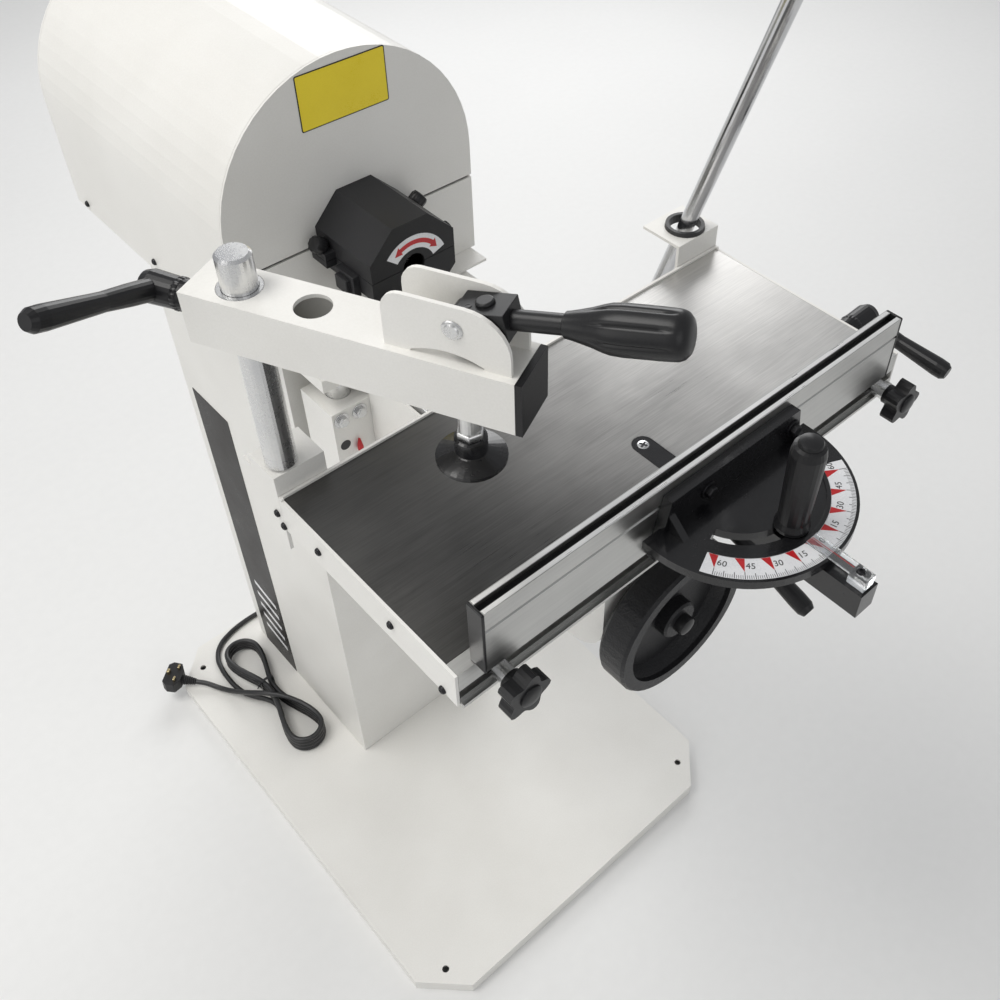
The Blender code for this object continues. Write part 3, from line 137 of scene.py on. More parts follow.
GLOSSY = (("Coat Weight", 0.35), ("Coat Roughness", 0.10), ("Specular IOR Level", 0.35))
DULL = (("Specular IOR Level", 0.32),)
paint = surface("paint", (0.83, 0.82, 0.785), (0.77, 0.758, 0.72), 0.36, grain=620, bump=0.22, depth=0.00012)
matte_black = surface("matte_black", (0.024, 0.024, 0.026), (0.013, 0.013, 0.014), 0.46, grain=1500, bump=0.3,
                      depth=0.0001, fixed=DULL)
grip_black = surface("grip_black", (0.017, 0.017, 0.018), (0.009, 0.009, 0.010), 0.33, grain=900, bump=0.12,
                     depth=0.0001, fixed=DULL)
gloss_black = surface("gloss_black", (0.011, 0.011, 0.012), (0.006, 0.006, 0.007), 0.26, grain=170, bump=0.22,
                      depth=0.0005, fixed=GLOSSY)
wrinkle_black = surface("wrinkle_black", (0.022, 0.022, 0.024), (0.010, 0.010, 0.011), 0.40, grain=520,
                        bump=0.85, depth=0.0006, fixed=DULL)
steel_table = surface("steel_table", (0.66, 0.65, 0.63), (0.40, 0.395, 0.385), 0.34, 1.0, mottle=6.5,
                      grain=95, bump=0.10, depth=0.00012, rough_spread=0.10, stretch=(0.30, 14.0, 14.0),
                      ramp=(0.30, 0.66))
# Painted reflection: the table steel is darker towards low X and lighter towards high X.
shade_along_x(steel_table, -0.16, 0.17, 0.20, 1.1)
zinc = surface("zinc", (0.74, 0.74, 0.73), (0.62, 0.625, 0.64), 0.27, 1.0, mottle=28, grain=420, bump=0.06,
               depth=0.0001, rough_spread=0.05)
bright = surface("bright", (0.70, 0.70, 0.71), (0.58, 0.585, 0.60), 0.17, 1.0, mottle=16, grain=240,
                 bump=0.05, depth=0.0001, stretch=(1.0, 1.0, 0.04))
anodised = surface("anodised", (0.60, 0.60, 0.585), (0.49, 0.49, 0.48), 0.34, 1.0, mottle=14, grain=420,
                   bump=0.10, depth=0.0001, stretch=(0.02, 1.0, 1.0))
light_edge = surface("light_edge", (0.86, 0.86, 0.85), (0.76, 0.76, 0.75), 0.30, 0.7, mottle=18, grain=420,
                     bump=0.06, depth=0.0001, stretch=(0.02, 1.0, 1.0))
rubber = surface("rubber", (0.020, 0.020, 0.021), (0.012, 0.012, 0.013), 0.44, mottle=30, grain=1100,
                 bump=0.25, depth=0.0001, fixed=(("Coat Weight", 0.15), ("Coat Roughness", 0.25)))
grey_casting = surface("grey_casting", (0.20, 0.21, 0.22), (0.13, 0.14, 0.15), 0.52, mottle=20, grain=320,
                       bump=0.5, depth=0.0005)
screw_black = surface("screw_black", (0.030, 0.030, 0.032), (0.015, 0.015, 0.017), 0.30, 0.6, mottle=90,
                      grain=1300, bump=0.12, depth=0.0001)
yellow_film = surface("yellow_film", (0.95, 0.76, 0.04), (0.88, 0.69, 0.03), 0.30, mottle=22, grain=900,
                      bump=0.06, depth=0.0001)
white_film = surface("white_film", (0.84, 0.84, 0.85), (0.76, 0.77, 0.79), 0.28, mottle=35, grain=900,
                     bump=0.06, depth=0.0001)
red_ink = surface("red_ink", (0.56, 0.018, 0.022), (0.43, 0.010, 0.015), 0.32, mottle=60, grain=900,
                  bump=0.05, depth=0.0001)
# Black print; the same black is also painted shade in holes, a screw's cross recess and the fence groove.
ink_and_painted_shade = surface("ink_and_painted_shade", (0.020, 0.020, 0.022), (0.011, 0.011, 0.012), 0.35, mottle=60, grain=900,
                    bump=0.05, depth=0.0001)
black_film = surface("black_film", (0.012, 0.009, 0.008), (0.005, 0.004, 0.004), 0.30, mottle=20, grain=500,
                     bump=0.03, depth=0.0001, fixed=(("Specular IOR Level", 0.08),))
brass = surface("brass", (0.78, 0.66, 0.40), (0.66, 0.53, 0.30), 0.24, 1.0, mottle=90, grain=900, bump=0.05,
                depth=0.0001)
clear = surface("clear", (0.93, 0.95, 0.96), (0.88, 0.90, 0.92), 0.07, mottle=30, grain=600, bump=0.03,
                depth=0.0001, rough_spread=0.02, fixed=(("Transmission Weight", 0.95), ("IOR", 1.49)))
pale_floor = surface("pale_floor", (0.82, 0.82, 0.81), (0.79, 0.79, 0.78), 0.62, mottle=1.2, grain=60,
                     bump=0.04, depth=0.0005)

LOOK_OF_SLOT = {
    "white_paint": paint, "black_plastic": matte_black, "black_casting": gloss_black, "bright_steel": zinc,
    "ground_steel": steel_table, "aluminium": anodised, "black_rubber": rubber, "motor_grey": grey_casting,
    "grey_casting": grey_casting, "clear_plastic": clear,
}
LOOK_OF_NODE = {
    "handwheel": wrinkle_black, "clamp_foot": gloss_black, "joystick_rod": bright, "mitre_knob": grip_black,
    "arm_lock_lever": grip_black, "table_lock_lever": grip_black, "height_lock_lever": grip_black,
    "stop_knob_left": grip_black, "stop_knob_right": grip_black, "arm_end_cap": grip_black,
    "knee_carriage": paint, "saddle_body": paint,
}
BEVEL_OF_NODE = {
    "mitre_head": 0.0012, "guard_upper": 0.0010, "guard_lower": 0.0010, "clamp_arm": 0.0012,
    "mitre_bar": 0.0008,
    "stop_knob_left": 0.0018, "stop_knob_right": 0.0018, "handwheel": 0.0010, "post_bracket": 0.0012,
    "electrics_box": 0.0010, "arm_end_cap": 0.0010, "fence": 0.0003, "front_rail": 0.0003, "knee_box": 0.0010,
}
FRAME_BEVEL = 0.0005
FRAME_BEVEL_ANGLE = math.radians(42)
PIECE_SHARP_ANGLE = math.radians(38)
for name, node in nodes.items():
    own = node.material_slots[0].name.split(".")[0] if node.material_slots else "black_rubber"
    look = LOOK_OF_NODE.get(name, LOOK_OF_SLOT.get(own, matte_black))
    if not node.material_slots:
        node.data.materials.append(look)
    for slot in node.material_slots:
        slot.material = look
    if node.type == "MESH":
        edge = node.modifiers.new("edge", "BEVEL")
        edge.width = BEVEL_OF_NODE.get(name, FRAME_BEVEL)
        edge.segments = 2
        edge.limit_method = "ANGLE"
        edge.angle_limit = FRAME_BEVEL_ANGLE


# ---------------------------------------------------------------- shapes, as (points, faces)
def along(start, direction, across=None):
    """Frame with its Z along direction; across picks its X."""
    z = Vector(direction).normalized()
    x = Vector(across) if across else z.orthogonal()
    x = (x - z * x.dot(z)).normalized()
    y = z.cross(x)
    return Matrix.Translation(start) @ Matrix((x, y, z)).transposed().to_4x4()


def lathe(profile, start, direction, sides=32, wave=None):
    """Closed turned solid; wave(angle, index) scales the radius at a point of the profile."""
    place = along(start, direction)
    points, faces = [], []
    for index, (radius, height) in enumerate(profile):
        for side in range(sides):
            angle = math.tau * side / sides
            r = radius * (wave(angle, index) if wave else 1.0)
            points.append(place @ Vector((r * math.cos(angle), r * math.sin(angle), height)))
    for ring in range(len(profile) - 1):
        for side in range(sides):
            a, b = ring * sides + side, ring * sides + (side + 1) % sides
            faces.append((a, b, b + sides, a + sides))
    faces.append(tuple(reversed(range(sides))))
    faces.append(tuple(range((len(profile) - 1) * sides, len(profile) * sides)))
    return points, faces


def prism(outline, place, depth):
    """Outline in the X and Y of place, pushed along its Z."""
    count = len(outline)
    points = [place @ Vector((x, y, z)) for z in (0.0, depth) for x, y in outline]
    faces = [tuple(reversed(range(count))), tuple(range(count, 2 * count))]
    for i in range(count):
        j = (i + 1) % count
        faces.append((i, j, j + count, i + count))
    return points, faces


def block(x, y, z, place=None):
    """Box between three (low, high) pairs, moved by place when there is one."""
    shape = prism([(x[0], y[0]), (x[1], y[0]), (x[1], y[1]), (x[0], y[1])], Matrix.Translation((0, 0, z[0])),
                  z[1] - z[0])
    return ([place @ p for p in shape[0]], shape[1]) if place else shape


def band(centre, inner, outer, z, thick, start, end, steps):
    """Flat ring sector about a vertical axis."""
    points, faces = [], []
    for i in range(steps + 1):
        angle = math.radians(start + (end - start) * i / steps)
        c, s = math.cos(angle), math.sin(angle)
        for r, h in ((inner, z), (outer, z), (outer, z + thick), (inner, z + thick)):
            points.append(Vector((centre[0] + r * c, centre[1] + r * s, h)))
    for i in range(steps):
        for k in range(4):
            a, b = 4 * i + k, 4 * i + (k + 1) % 4
            faces.append((a, a + 4, b + 4, b))
    faces += [(0, 1, 2, 3), tuple(reversed(range(4 * steps, 4 * steps + 4)))]
    return points, faces


def rounded(width, height, radius, steps=5):
    """Outline of a rectangle with rounded corners, centred on the origin."""
    outline = []
    corners = ((1, 1, 0), (-1, 1, 90), (-1, -1, 180), (1, -1, 270))
    for sx, sy, start in corners:
        for i in range(steps + 1):
            a = math.radians(start + 90 * i / steps)
            outline.append((sx * (width / 2 - radius) + radius * math.cos(a),
                            sy * (height / 2 - radius) + radius * math.sin(a)))
    return outline


def piece(name, look, body, shapes, bevel=0.0):
    """One object from several closed shapes, riding on a body."""
    mesh = bpy.data.meshes.new(name)
    points, faces = [], []
    for some_points, some_faces in shapes:
        base = len(points)
        points += [tuple(p) for p in some_points]
        faces += [tuple(base + i for i in face) for face in some_faces]
    mesh.from_pydata(points, [], faces)
    mesh.materials.append(look)
    mesh.validate()
    mesh.update()
    mesh.shade_smooth()
    mesh.set_sharp_from_angle(angle=PIECE_SHARP_ANGLE)
    made = bpy.data.objects.new(name, mesh)
    bpy.context.collection.objects.link(made)
    if bevel:
        edge = made.modifiers.new("edge", "BEVEL")
        edge.width = bevel
        edge.segments = 3
        edge.limit_method = "ANGLE"
        edge.angle_limit = PIECE_SHARP_ANGLE
    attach(made, body)
    return made


def screw(name, at, direction, radius, body, look=None, height=None):
    """Button head with a round socket."""
    h = height or radius * 0.75
    profile = [(radius, 0.0), (radius, h * 0.35), (radius * 0.88, h * 0.75), (radius * 0.62, h),
               (radius * 0.42, h), (radius * 0.40, h * 0.35), (radius * 0.05, h * 0.30)]
    piece(name, look or screw_black, body, [lathe(profile, at, direction, 24)])


def bolt(name, at, direction, radius, body, look=None):
    """Hexagon head on a washer."""
    place = Vector(at)
    step = Vector(direction).normalized()
    washer = lathe([(radius * 1.45, 0.0), (radius * 1.45, radius * 0.25)], place, step, 28)
    head = lathe([(radius, radius * 0.25), (radius, radius * 0.95), (radius * 0.86, radius * 1.1)],
                 place, step, 6)
    piece(name, look or zinc, body, [washer, head], 0.0003)


# ---------------------------------------------------------------- cord and plug
CORD_DIAMETER = 0.0075
TRAY_TOP = 0.0207
CORD_CLEARANCE = 0.0003
CORD_Z = TRAY_TOP + CORD_DIAMETER / 2 + CORD_CLEARANCE
CORD_EXIT = (0.0200, 0.3215, 0.0994)
CORD_ROUTE = (
    CORD_EXIT, (0.0195, 0.3215, 0.0880), (0.0170, 0.3217, 0.0690),
    (0.0080, 0.3222, 0.0480), (-0.0090, 0.3228, 0.0330), (-0.0300, 0.3236, 0.0262),
    (-0.0550, 0.3258, CORD_Z), (-0.0800, 0.3292, CORD_Z), (-0.1040, 0.3318, CORD_Z),
    (-0.1280, 0.3310, CORD_Z), (-0.1520, 0.3265, CORD_Z), (-0.1740, 0.3165, CORD_Z),
    (-0.1885, 0.2990, CORD_Z), (-0.1945, 0.2770, CORD_Z), (-0.1960, 0.2530, CORD_Z),
    (-0.1945, 0.2310, CORD_Z), (-0.1895, 0.2130, CORD_Z), (-0.1815, 0.1985, CORD_Z),
    (-0.1722, 0.1845, CORD_Z), (-0.1664, 0.1695, CORD_Z), (-0.1676, 0.1540, CORD_Z),
    (-0.1729, 0.1390, CORD_Z), (-0.1782, 0.1230, CORD_Z), (-0.1817, 0.1080, CORD_Z),
)
HANK_X = -0.1590
HANK_Y0 = 0.0950
HANK_Y1 = 0.2680
HANK_R = 0.02375
HANK_WAIST = 0.0045
HANK_RISE = 0.0078
FOLD_STEPS = 8
WAIST_STEPS = 5
CROSSING = (
    (-0.1362, 0.1080, 0.0484), (-0.1405, 0.1230, 0.0498), (-0.1485, 0.1390, 0.0532),
    (-0.1585, 0.1540, 0.0563), (-0.1695, 0.1680, 0.0570), (-0.1800, 0.1815, 0.0543),
    (-0.1895, 0.1960, 0.0480), (-0.1985, 0.2145, 0.0378),
    (-0.2075, 0.2340, 0.0290), (-0.2165, 0.2520, 0.0264), (-0.2265, 0.2680, 0.0290),
    (-0.2360, 0.2790, CORD_Z + 0.0055),
)


def hank_half(y):
    """Half width of the hank's centre line: round loops with a pinched waist between them."""
    t = (y - HANK_Y0) / (HANK_Y1 - HANK_Y0)
    return HANK_R - (HANK_R - HANK_WAIST) * (0.5 - 0.5 * math.cos(math.tau * t))


def hank_turn(layer, whole=True, first=False):
    """Points of one turn from the waist's left side; each turn climbs onto the one below at its end."""
    middle = (HANK_Y0 + HANK_Y1) / 2
    flat = []
    if not first:
        for i in range(WAIST_STEPS):
            y = middle + (HANK_Y0 - middle) * i / WAIST_STEPS
            flat.append((HANK_X - hank_half(y), y))
    for i in range(FOLD_STEPS + 1):
        a = math.radians(180 + 180 * i / FOLD_STEPS)
        flat.append((HANK_X + HANK_R * math.cos(a), HANK_Y0 + HANK_R * math.sin(a)))
    if not whole:
        return [(x, y, CORD_Z + layer * HANK_RISE) for x, y in flat]
    for i in range(1, FOLD_STEPS):
        y = HANK_Y0 + (HANK_Y1 - HANK_Y0) * i / FOLD_STEPS
        flat.append((HANK_X + hank_half(y), y))
    level = len(flat)
    for i in range(FOLD_STEPS + 1):
        a = math.radians(180 * i / FOLD_STEPS)
        flat.append((HANK_X + HANK_R * math.cos(a), HANK_Y1 + HANK_R * math.sin(a)))
    for i in range(1, WAIST_STEPS):
        y = HANK_Y1 + (middle - HANK_Y1) * i / WAIST_STEPS
        flat.append((HANK_X - hank_half(y), y))
    made = []
    for i, (x, y) in enumerate(flat):
        t = max(0.0, (i - level) / (len(flat) - level))
        made.append((x, y, CORD_Z + (layer + t * t * (3 - 2 * t)) * HANK_RISE))
    return made


route = list(CORD_ROUTE) + hank_turn(0, first=True) + hank_turn(1) + hank_turn(2) + hank_turn(3, whole=False)
route += list(CROSSING)
cord_curve = bpy.data.curves.new("mains_cord", "CURVE")
cord_curve.dimensions = "3D"
cord_curve.resolution_u = 6
cord_curve.bevel_depth = CORD_DIAMETER / 2
cord_curve.bevel_resolution = 6
cord_curve.use_fill_caps = True
spline = cord_curve.splines.new("BEZIER")
spline.bezier_points.add(len(route) - 1)
for knot, point in zip(spline.bezier_points, route):
    knot.co = point
    knot.handle_left_type = knot.handle_right_type = "AUTO"
cord_curve.materials.append(rubber)
mains_cord = bpy.data.objects.new("mains_cord", cord_curve)
bpy.context.collection.objects.link(mains_cord)
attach(mains_cord, "stand")
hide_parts("power_cord", "cord_hank", "cord_tail")

plug_end, plug_way = Vector(route[-1]), (Vector(route[-1]) - Vector(route[-2])).normalized()
plug_frame = along(plug_end, plug_way, Vector((0, 0, 1)).cross(plug_way))
relief_profile = []
for i in range(7):
    t = 0.001 + 0.0030 * i
    thick = 0.0050 + 0.00045 * i
    relief_profile += [(thick, t), (thick, t + 0.0016)]
    relief_profile += [(thick - 0.0010, t + 0.0018), (thick - 0.0010, t + 0.0028)]
plug_shell = prism(
    [(-0.0085, 0.0205), (-0.0195, 0.0270), (-0.0200, 0.0395), (-0.0150, 0.0460), (0.0150, 0.0460),
     (0.0200, 0.0395), (0.0195, 0.0270), (0.0085, 0.0205)],
    plug_frame @ Matrix(((1, 0, 0, 0), (0, 0, 1, -0.0080), (0, 1, 0, 0), (0, 0, 0, 1))), 0.0200)
plug_body = piece("plug_body", matte_black, "stand",
                  [plug_shell, lathe(relief_profile, plug_end, plug_way, 24)], 0.0008)
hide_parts("plug")
pins = [block((-0.0030, 0.0030), (0.0121, 0.0200), (0.0385, 0.0425), plug_frame)]
for side in (-1, 1):
    pins.append(block(sorted((side * 0.0075, side * 0.0135)), (0.0121, 0.0185), (0.0270, 0.0300), plug_frame))
plug_pins = piece("plug_pins", brass, "stand", pins, 0.0004)

TIE_Y = 0.1975
TIE_Z = 0.0371
TIE_HALF = 0.0022
tie_outline = rounded(0.0206, 0.0322, 0.0040)
tie_hole = rounded(0.0198, 0.0314, 0.0036)
tie_points = []
for y in (TIE_Y - TIE_HALF, TIE_Y + TIE_HALF):
    for ring in (tie_outline, tie_hole):
        tie_points += [Vector((HANK_X + x, y, TIE_Z + z)) for x, z in ring]
count = len(tie_outline)
tie_faces = []
for i in range(count):
    j = (i + 1) % count
    for a, b in ((0, 1), (1, 3), (3, 2), (2, 0)):
        tie_faces.append((a * count + i, a * count + j, b * count + j, b * count + i))
tails = []
for tilt in (-0.5, 0.7):
    way = Vector((-0.55, tilt, 0.35))
    tails.append(lathe([(0.0009, 0.0), (0.0010, 0.004), (0.0008, 0.016)],
                       (HANK_X - 0.0095, TIE_Y, 0.0505), way, 8))
cord_tie = piece("cord_tie", ink_and_painted_shade, "stand", [(tie_points, tie_faces), *tails])

# ---------------------------------------------------------------- hood, column, electrics box
hood_face_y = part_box("hood_front_panel")[0].y
label_x, label_z = (-0.044, 0.049), (0.990, 1.042)
facing = Matrix(((1, 0, 0, 0), (0, 0, -1, 0), (0, 1, 0, 0), (0, 0, 0, 1)))
label_middle = ((label_x[0] + label_x[1]) / 2, hood_face_y, (label_z[0] + label_z[1]) / 2)
label_place = Matrix.Translation(label_middle) @ facing
width, height = label_x[1] - label_x[0], label_z[1] - label_z[0]
piece("hood_plate_border", ink_and_painted_shade, "stand", [prism(rounded(width, height, 0.002), label_place, 0.0003)])
piece("hood_plate", yellow_film, "stand",
      [prism(rounded(width - 0.0022, height - 0.0022, 0.0012), label_place, 0.0005)])
COLUMN_HALF = 0.110
STRIP_Y = 0.24075
STRIP_Z = 0.2880
STRIP_SIZE = (0.0845, 0.5340)
for side in (-1, 1):
    strip_place = along((side * COLUMN_HALF, STRIP_Y, STRIP_Z), (side, 0, 0), (0, 1, 0))
    name = "left" if side < 0 else "right"
    piece("column_strip_" + name, black_film, "stand",
          [prism(rounded(*STRIP_SIZE, 0.001), strip_place, 0.0004)])
    bars = []
    for i in range(5):
        z = side * (0.026 * i - 0.225)
        rise, thick = side * 0.012, side * 0.008
        outline = [(-0.030, z), (0.024, z + rise), (0.024, z + rise + thick), (-0.030, z + thick)]
        bars.append(prism(outline if side > 0 else outline[::-1], strip_place, 0.0006))
    piece("strip_bars_" + name, white_film, "stand", bars)
HOOD_HALF = 0.1386
for index, (y, z) in enumerate(((0.354, 0.798), (0.199, 0.803))):
    screw("hood_screw_left_%d" % index, (-HOOD_HALF, y, z), (-1, 0, 0), 0.0036, "stand")
    screw("hood_screw_right_%d" % index, (HOOD_HALF, y, z), (1, 0, 0), 0.0036, "stand")
rear_face_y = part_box("hood_rear_panel")[1].y
for index, (x, z) in enumerate(((-0.112, 0.81), (0.112, 0.81), (-0.085, 1.0), (0.085, 1.0))):
    screw("rear_screw_%d" % index, (x, rear_face_y, z), (0, 1, 0), 0.0036, "stand")
box_low, box_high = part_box("electrics_box")
for index, (sx, sz) in enumerate(((0, 0), (1, 0), (0, 1), (1, 1))):
    x = (box_low.x + 0.008, box_high.x - 0.008)[sx]
    z = (box_low.z + 0.008, box_high.z - 0.008)[sz]
    screw("box_screw_%d" % index, (x, box_high.y, z), (0, 1, 0), 0.0030, "stand", zinc)

# ---------------------------------------------------------------- chuck guard
SPINDLE_Z = 0.877
guard_front_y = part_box("guard_upper")[0].y
guard_face = Matrix.Translation((0, guard_front_y, SPINDLE_Z)) @ facing


def sector(inner, outer, start, end, place, depth, steps=20):
    """Flat ring sector in the X and Y of place."""
    outline = []
    for r, a, b in ((outer, start, end), (inner, end, start)):
        for i in range(steps + 1):
            angle = math.radians(a + (b - a) * i / steps)
            outline.append((r * math.cos(angle), r * math.sin(angle)))
    return prism(outline, place, depth)


def arrow_head(angle, way, place, depth):
    """Triangle that ends the guard's curved arrow; way is its sense of turning."""
    tip, base = math.radians(angle + way * 15), math.radians(angle)
    outline = [(0.0305 * math.cos(tip), 0.0305 * math.sin(tip))]
    for r in (0.0353, 0.0257):
        outline.append((r * math.cos(base), r * math.sin(base)))
    return prism(outline if way > 0 else outline[::-1], place, depth)


sticker_place = Matrix.Translation((0, 0, -0.006)) @ guard_face
piece("guard_sticker", white_film, "guard_top", [sector(0.0235, 0.0375, 20, 140, sticker_place, 0.00025)])
piece("guard_arrow", red_ink, "guard_top", [
    sector(0.0282, 0.0328, 44, 116, sticker_place, 0.0004),
    arrow_head(116, 1, sticker_place, 0.0004), arrow_head(44, -1, sticker_place, 0.0004),
])
knob = [(0.0040, 0.0), (0.0042, 0.003), (0.0080, 0.0035), (0.0086, 0.006), (0.0086, 0.012), (0.0072, 0.0148),
        (0.0030, 0.0156)]


def flutes(count, depth, low, high):
    """Wave for lathe: count grooves, between two indexes of the profile."""
    return lambda angle, index: 1.0 - depth * (0.5 - 0.5 * math.cos(count * angle)) * (low <= index <= high)


for name, side in (("left", -1), ("right", 1)):
    piece("guard_knob_" + name, grip_black, "guard_top",
          [lathe(knob, (side * 0.0500, 0.0, SPINDLE_Z + 0.0074), (side * 0.80, -0.05, 0.60), 40,
                 flutes(10, 0.09, 2, 5))])
small_knob = [(r * 0.62, h * 0.62) for r, h in knob]
piece("guard_knob_front", grip_black, "guard_top",
      [lathe(small_knob, (0.0460, -0.0520, SPINDLE_Z + 0.0080), (0.9, 0, 0.42), 32, flutes(8, 0.09, 2, 5))])
latch = [block((-0.0545, -0.0465), (-0.0480, -0.0200), (SPINDLE_Z - 0.0240, SPINDLE_Z - 0.0010)),
         block((-0.0590, -0.0540), (-0.0430, -0.0250), (SPINDLE_Z - 0.0200, SPINDLE_Z - 0.0050)),
         block((-0.0560, -0.0500), (-0.0390, -0.0290), (SPINDLE_Z - 0.0290, SPINDLE_Z - 0.0180))]
piece("guard_latch", matte_black, "stand", latch, 0.0010)

# ---------------------------------------------------------------- clamp arm and its cam lever
ARM_END = Vector((-0.2404, -0.167, 0.0))
ARM_DIR = Vector((0.4366, -0.8997, 0.0)).normalized()
arm_place = Matrix.Translation(ARM_END) @ Matrix.Rotation(math.atan2(ARM_DIR.y, ARM_DIR.x), 4, "Z")
CAM_AT = 0.198
CAM_Z = 1.063
CAM_TILT = math.radians(11.0)
cam_place = arm_place @ Matrix.Translation((CAM_AT, 0, CAM_Z)) @ Matrix.Rotation(-CAM_TILT, 4, "Y")


def in_place(place, shape):
    """The same shape, with its points moved by place."""
    return [place @ Vector(p) for p in shape[0]], shape[1]


cam_drop = Vector((0, 0, -0.0050))
cam_disc = lathe([(0.0100, 0.0), (0.0105, 0.0006), (0.0105, 0.0228), (0.0100, 0.0234)],
                 (0, -0.0117, 0), (0, 1, 0), 40)
cam_disc = ([arm_place @ (Vector((CAM_AT, 0, CAM_Z)) + cam_drop + p) for p in cam_disc[0]], cam_disc[1])
shoulder = in_place(cam_place, block((0.0, 0.034), (-0.0117, 0.0117), (-0.0095, 0.0105)))
boss = in_place(cam_place, lathe([(0.0062, 0.0), (0.0062, 0.0020), (0.0052, 0.0030)],
                                 (0.0175, 0, 0.0100), (0, 0, 1), 28))
lever = piece("cam_lever_body", grip_black, "cam", [cam_disc, shoulder, boss], 0.0007)
# Painted shade: a thin black disc stands in for the dark of the hole in the lever's shoulder.
hole_rim = lathe([(0.0024, 0.0), (0.0024, 0.0003), (0.0017, 0.0003), (0.0016, 0.0001)],
                 (0.0080, -0.0045, 0.0105), (0, 0, 1), 24)
piece("cam_lever_hole", ink_and_painted_shade, "cam", [in_place(cam_place, hole_rim)])
shaft = lathe([(0.0066, 0.0), (0.0066, 0.043), (0.0060, 0.0435)], (0.033, 0, 0), (1, 0, 0), 32)
grip_profile = [
    (0.0070, 0.0), (0.0082, 0.0008), (0.0085, 0.0030), (0.0098, 0.0090), (0.0118, 0.0170), (0.0140, 0.0240),
    (0.0152, 0.0290), (0.0157, 0.0370), (0.0156, 0.0480), (0.0154, 0.0600), (0.0152, 0.0660),
    (0.0150, 0.0695), (0.0146, 0.0712), (0.0136, 0.0735), (0.0110, 0.0758), (0.0070, 0.0770),
    (0.0020, 0.0774),
]


def grip_wave(angle, index):
    """Eight narrow finger grooves along the grip's thick part."""
    return 1.0 - (0.075 * max(0.0, math.cos(8 * angle)) ** 6 if 5 <= index <= 10 else 0.0)


grip = lathe(grip_profile, (0.0674, 0, 0), (1, 0, 0), 96, grip_wave)
piece("cam_lever_grip", grip_black, "cam", [in_place(cam_place, shaft), in_place(cam_place, grip)])
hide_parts("cam_lever")
ring_shapes = []
pin = lathe([(0.0044, 0.0), (0.0050, 0.0006), (0.0050, 0.0350), (0.0044, 0.0356)],
            (CAM_AT, -0.0178, CAM_Z), (0, 1, 0), 28)
for side in (-1, 1):
    ring = lathe([(0.0070, 0.0), (0.0072, 0.0004), (0.0066, 0.0009), (0.0054, 0.0011)],
                 (CAM_AT, side * 0.0156, CAM_Z), (0, side, 0), 32)
    ring_shapes.append(in_place(arm_place, ring))
piece("cam_pin", zinc, "cam", [in_place(arm_place, pin)])
piece("cam_rings", zinc, "arm", ring_shapes)
foot_low, foot_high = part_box("clamp_foot")
foot_mid = (foot_low + foot_high) / 2
piece("foot_collar", zinc, "plunger",
      [lathe([(0.0092, 0.0), (0.0100, 0.001), (0.0100, 0.0055), (0.0090, 0.0065)],
             (foot_mid.x, foot_mid.y, foot_high.z), (0, 0, 1), 6)], 0.0005)

# ---------------------------------------------------------------- mitre gauge
PIVOT = (0.0106, -0.450)
SCALE_Z = 0.8770
piece("scale_ring", white_film, "mitre", [band(PIVOT, 0.0696, 0.0880, SCALE_Z, 0.0002, 204, 336, 66)])
piece("scale_ridge", gloss_black, "mitre",
      [band(PIVOT, 0.0662, 0.0696, SCALE_Z - 0.0005, 0.0014, 203, 337, 66)], 0.0003)


def radial(angle, radius):
    """Point on the scale; zero degrees is the middle of its front."""
    a = math.radians(270 + angle)
    return PIVOT[0] + radius * math.cos(a), PIVOT[1] + radius * math.sin(a)


ink_place = Matrix.Translation((0, 0, SCALE_Z + 0.0001))
triangles, ticks = [], []
for angle in range(-60, 61, 15):
    triangles.append(prism([radial(angle - 5.0, 0.0699), radial(angle, 0.0815), radial(angle + 0.6, 0.0699)],
                           ink_place, 0.0002))
for angle in range(-60, 61):
    reach = 0.0815 if angle % 15 == 0 else 0.0826 if angle % 5 == 0 else 0.0846
    half = 0.16 if angle % 5 == 0 else 0.10
    ticks.append(prism([radial(angle - half, reach), radial(angle - half, 0.0878),
                        radial(angle + half, 0.0878), radial(angle + half, reach)], ink_place, 0.0002))
piece("scale_triangles", red_ink, "mitre", triangles)
piece("scale_ticks", ink_and_painted_shade, "mitre", ticks)
for angle in range(-60, 61, 15):
    words = bpy.data.curves.new("digits", "FONT")
    words.body = str(abs(angle))
    words.size = 0.0072
    words.align_x = "CENTER"
    words.align_y = "CENTER"
    words.extrude = 0.00005
    words.resolution_u = 3
    source = bpy.data.objects.new("digits", words)
    bpy.context.collection.objects.link(source)
    mesh = bpy.data.meshes.new_from_object(source.evaluated_get(bpy.context.evaluated_depsgraph_get()))
    bpy.data.objects.remove(source, do_unlink=True)
    x, y = radial(angle + 3.4, 0.0765)
    upright = Matrix.Rotation(math.radians(angle), 4, "Z")
    mesh.transform(Matrix.Translation((x, y, SCALE_Z + 0.00025)) @ upright)
    mesh.materials.clear()
    mesh.materials.append(ink_and_painted_shade)
    number = bpy.data.objects.new("scale_number_%s%d" % ("m" if angle < 0 else "p", abs(angle)), mesh)
    bpy.context.collection.objects.link(number)
    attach(number, "mitre")

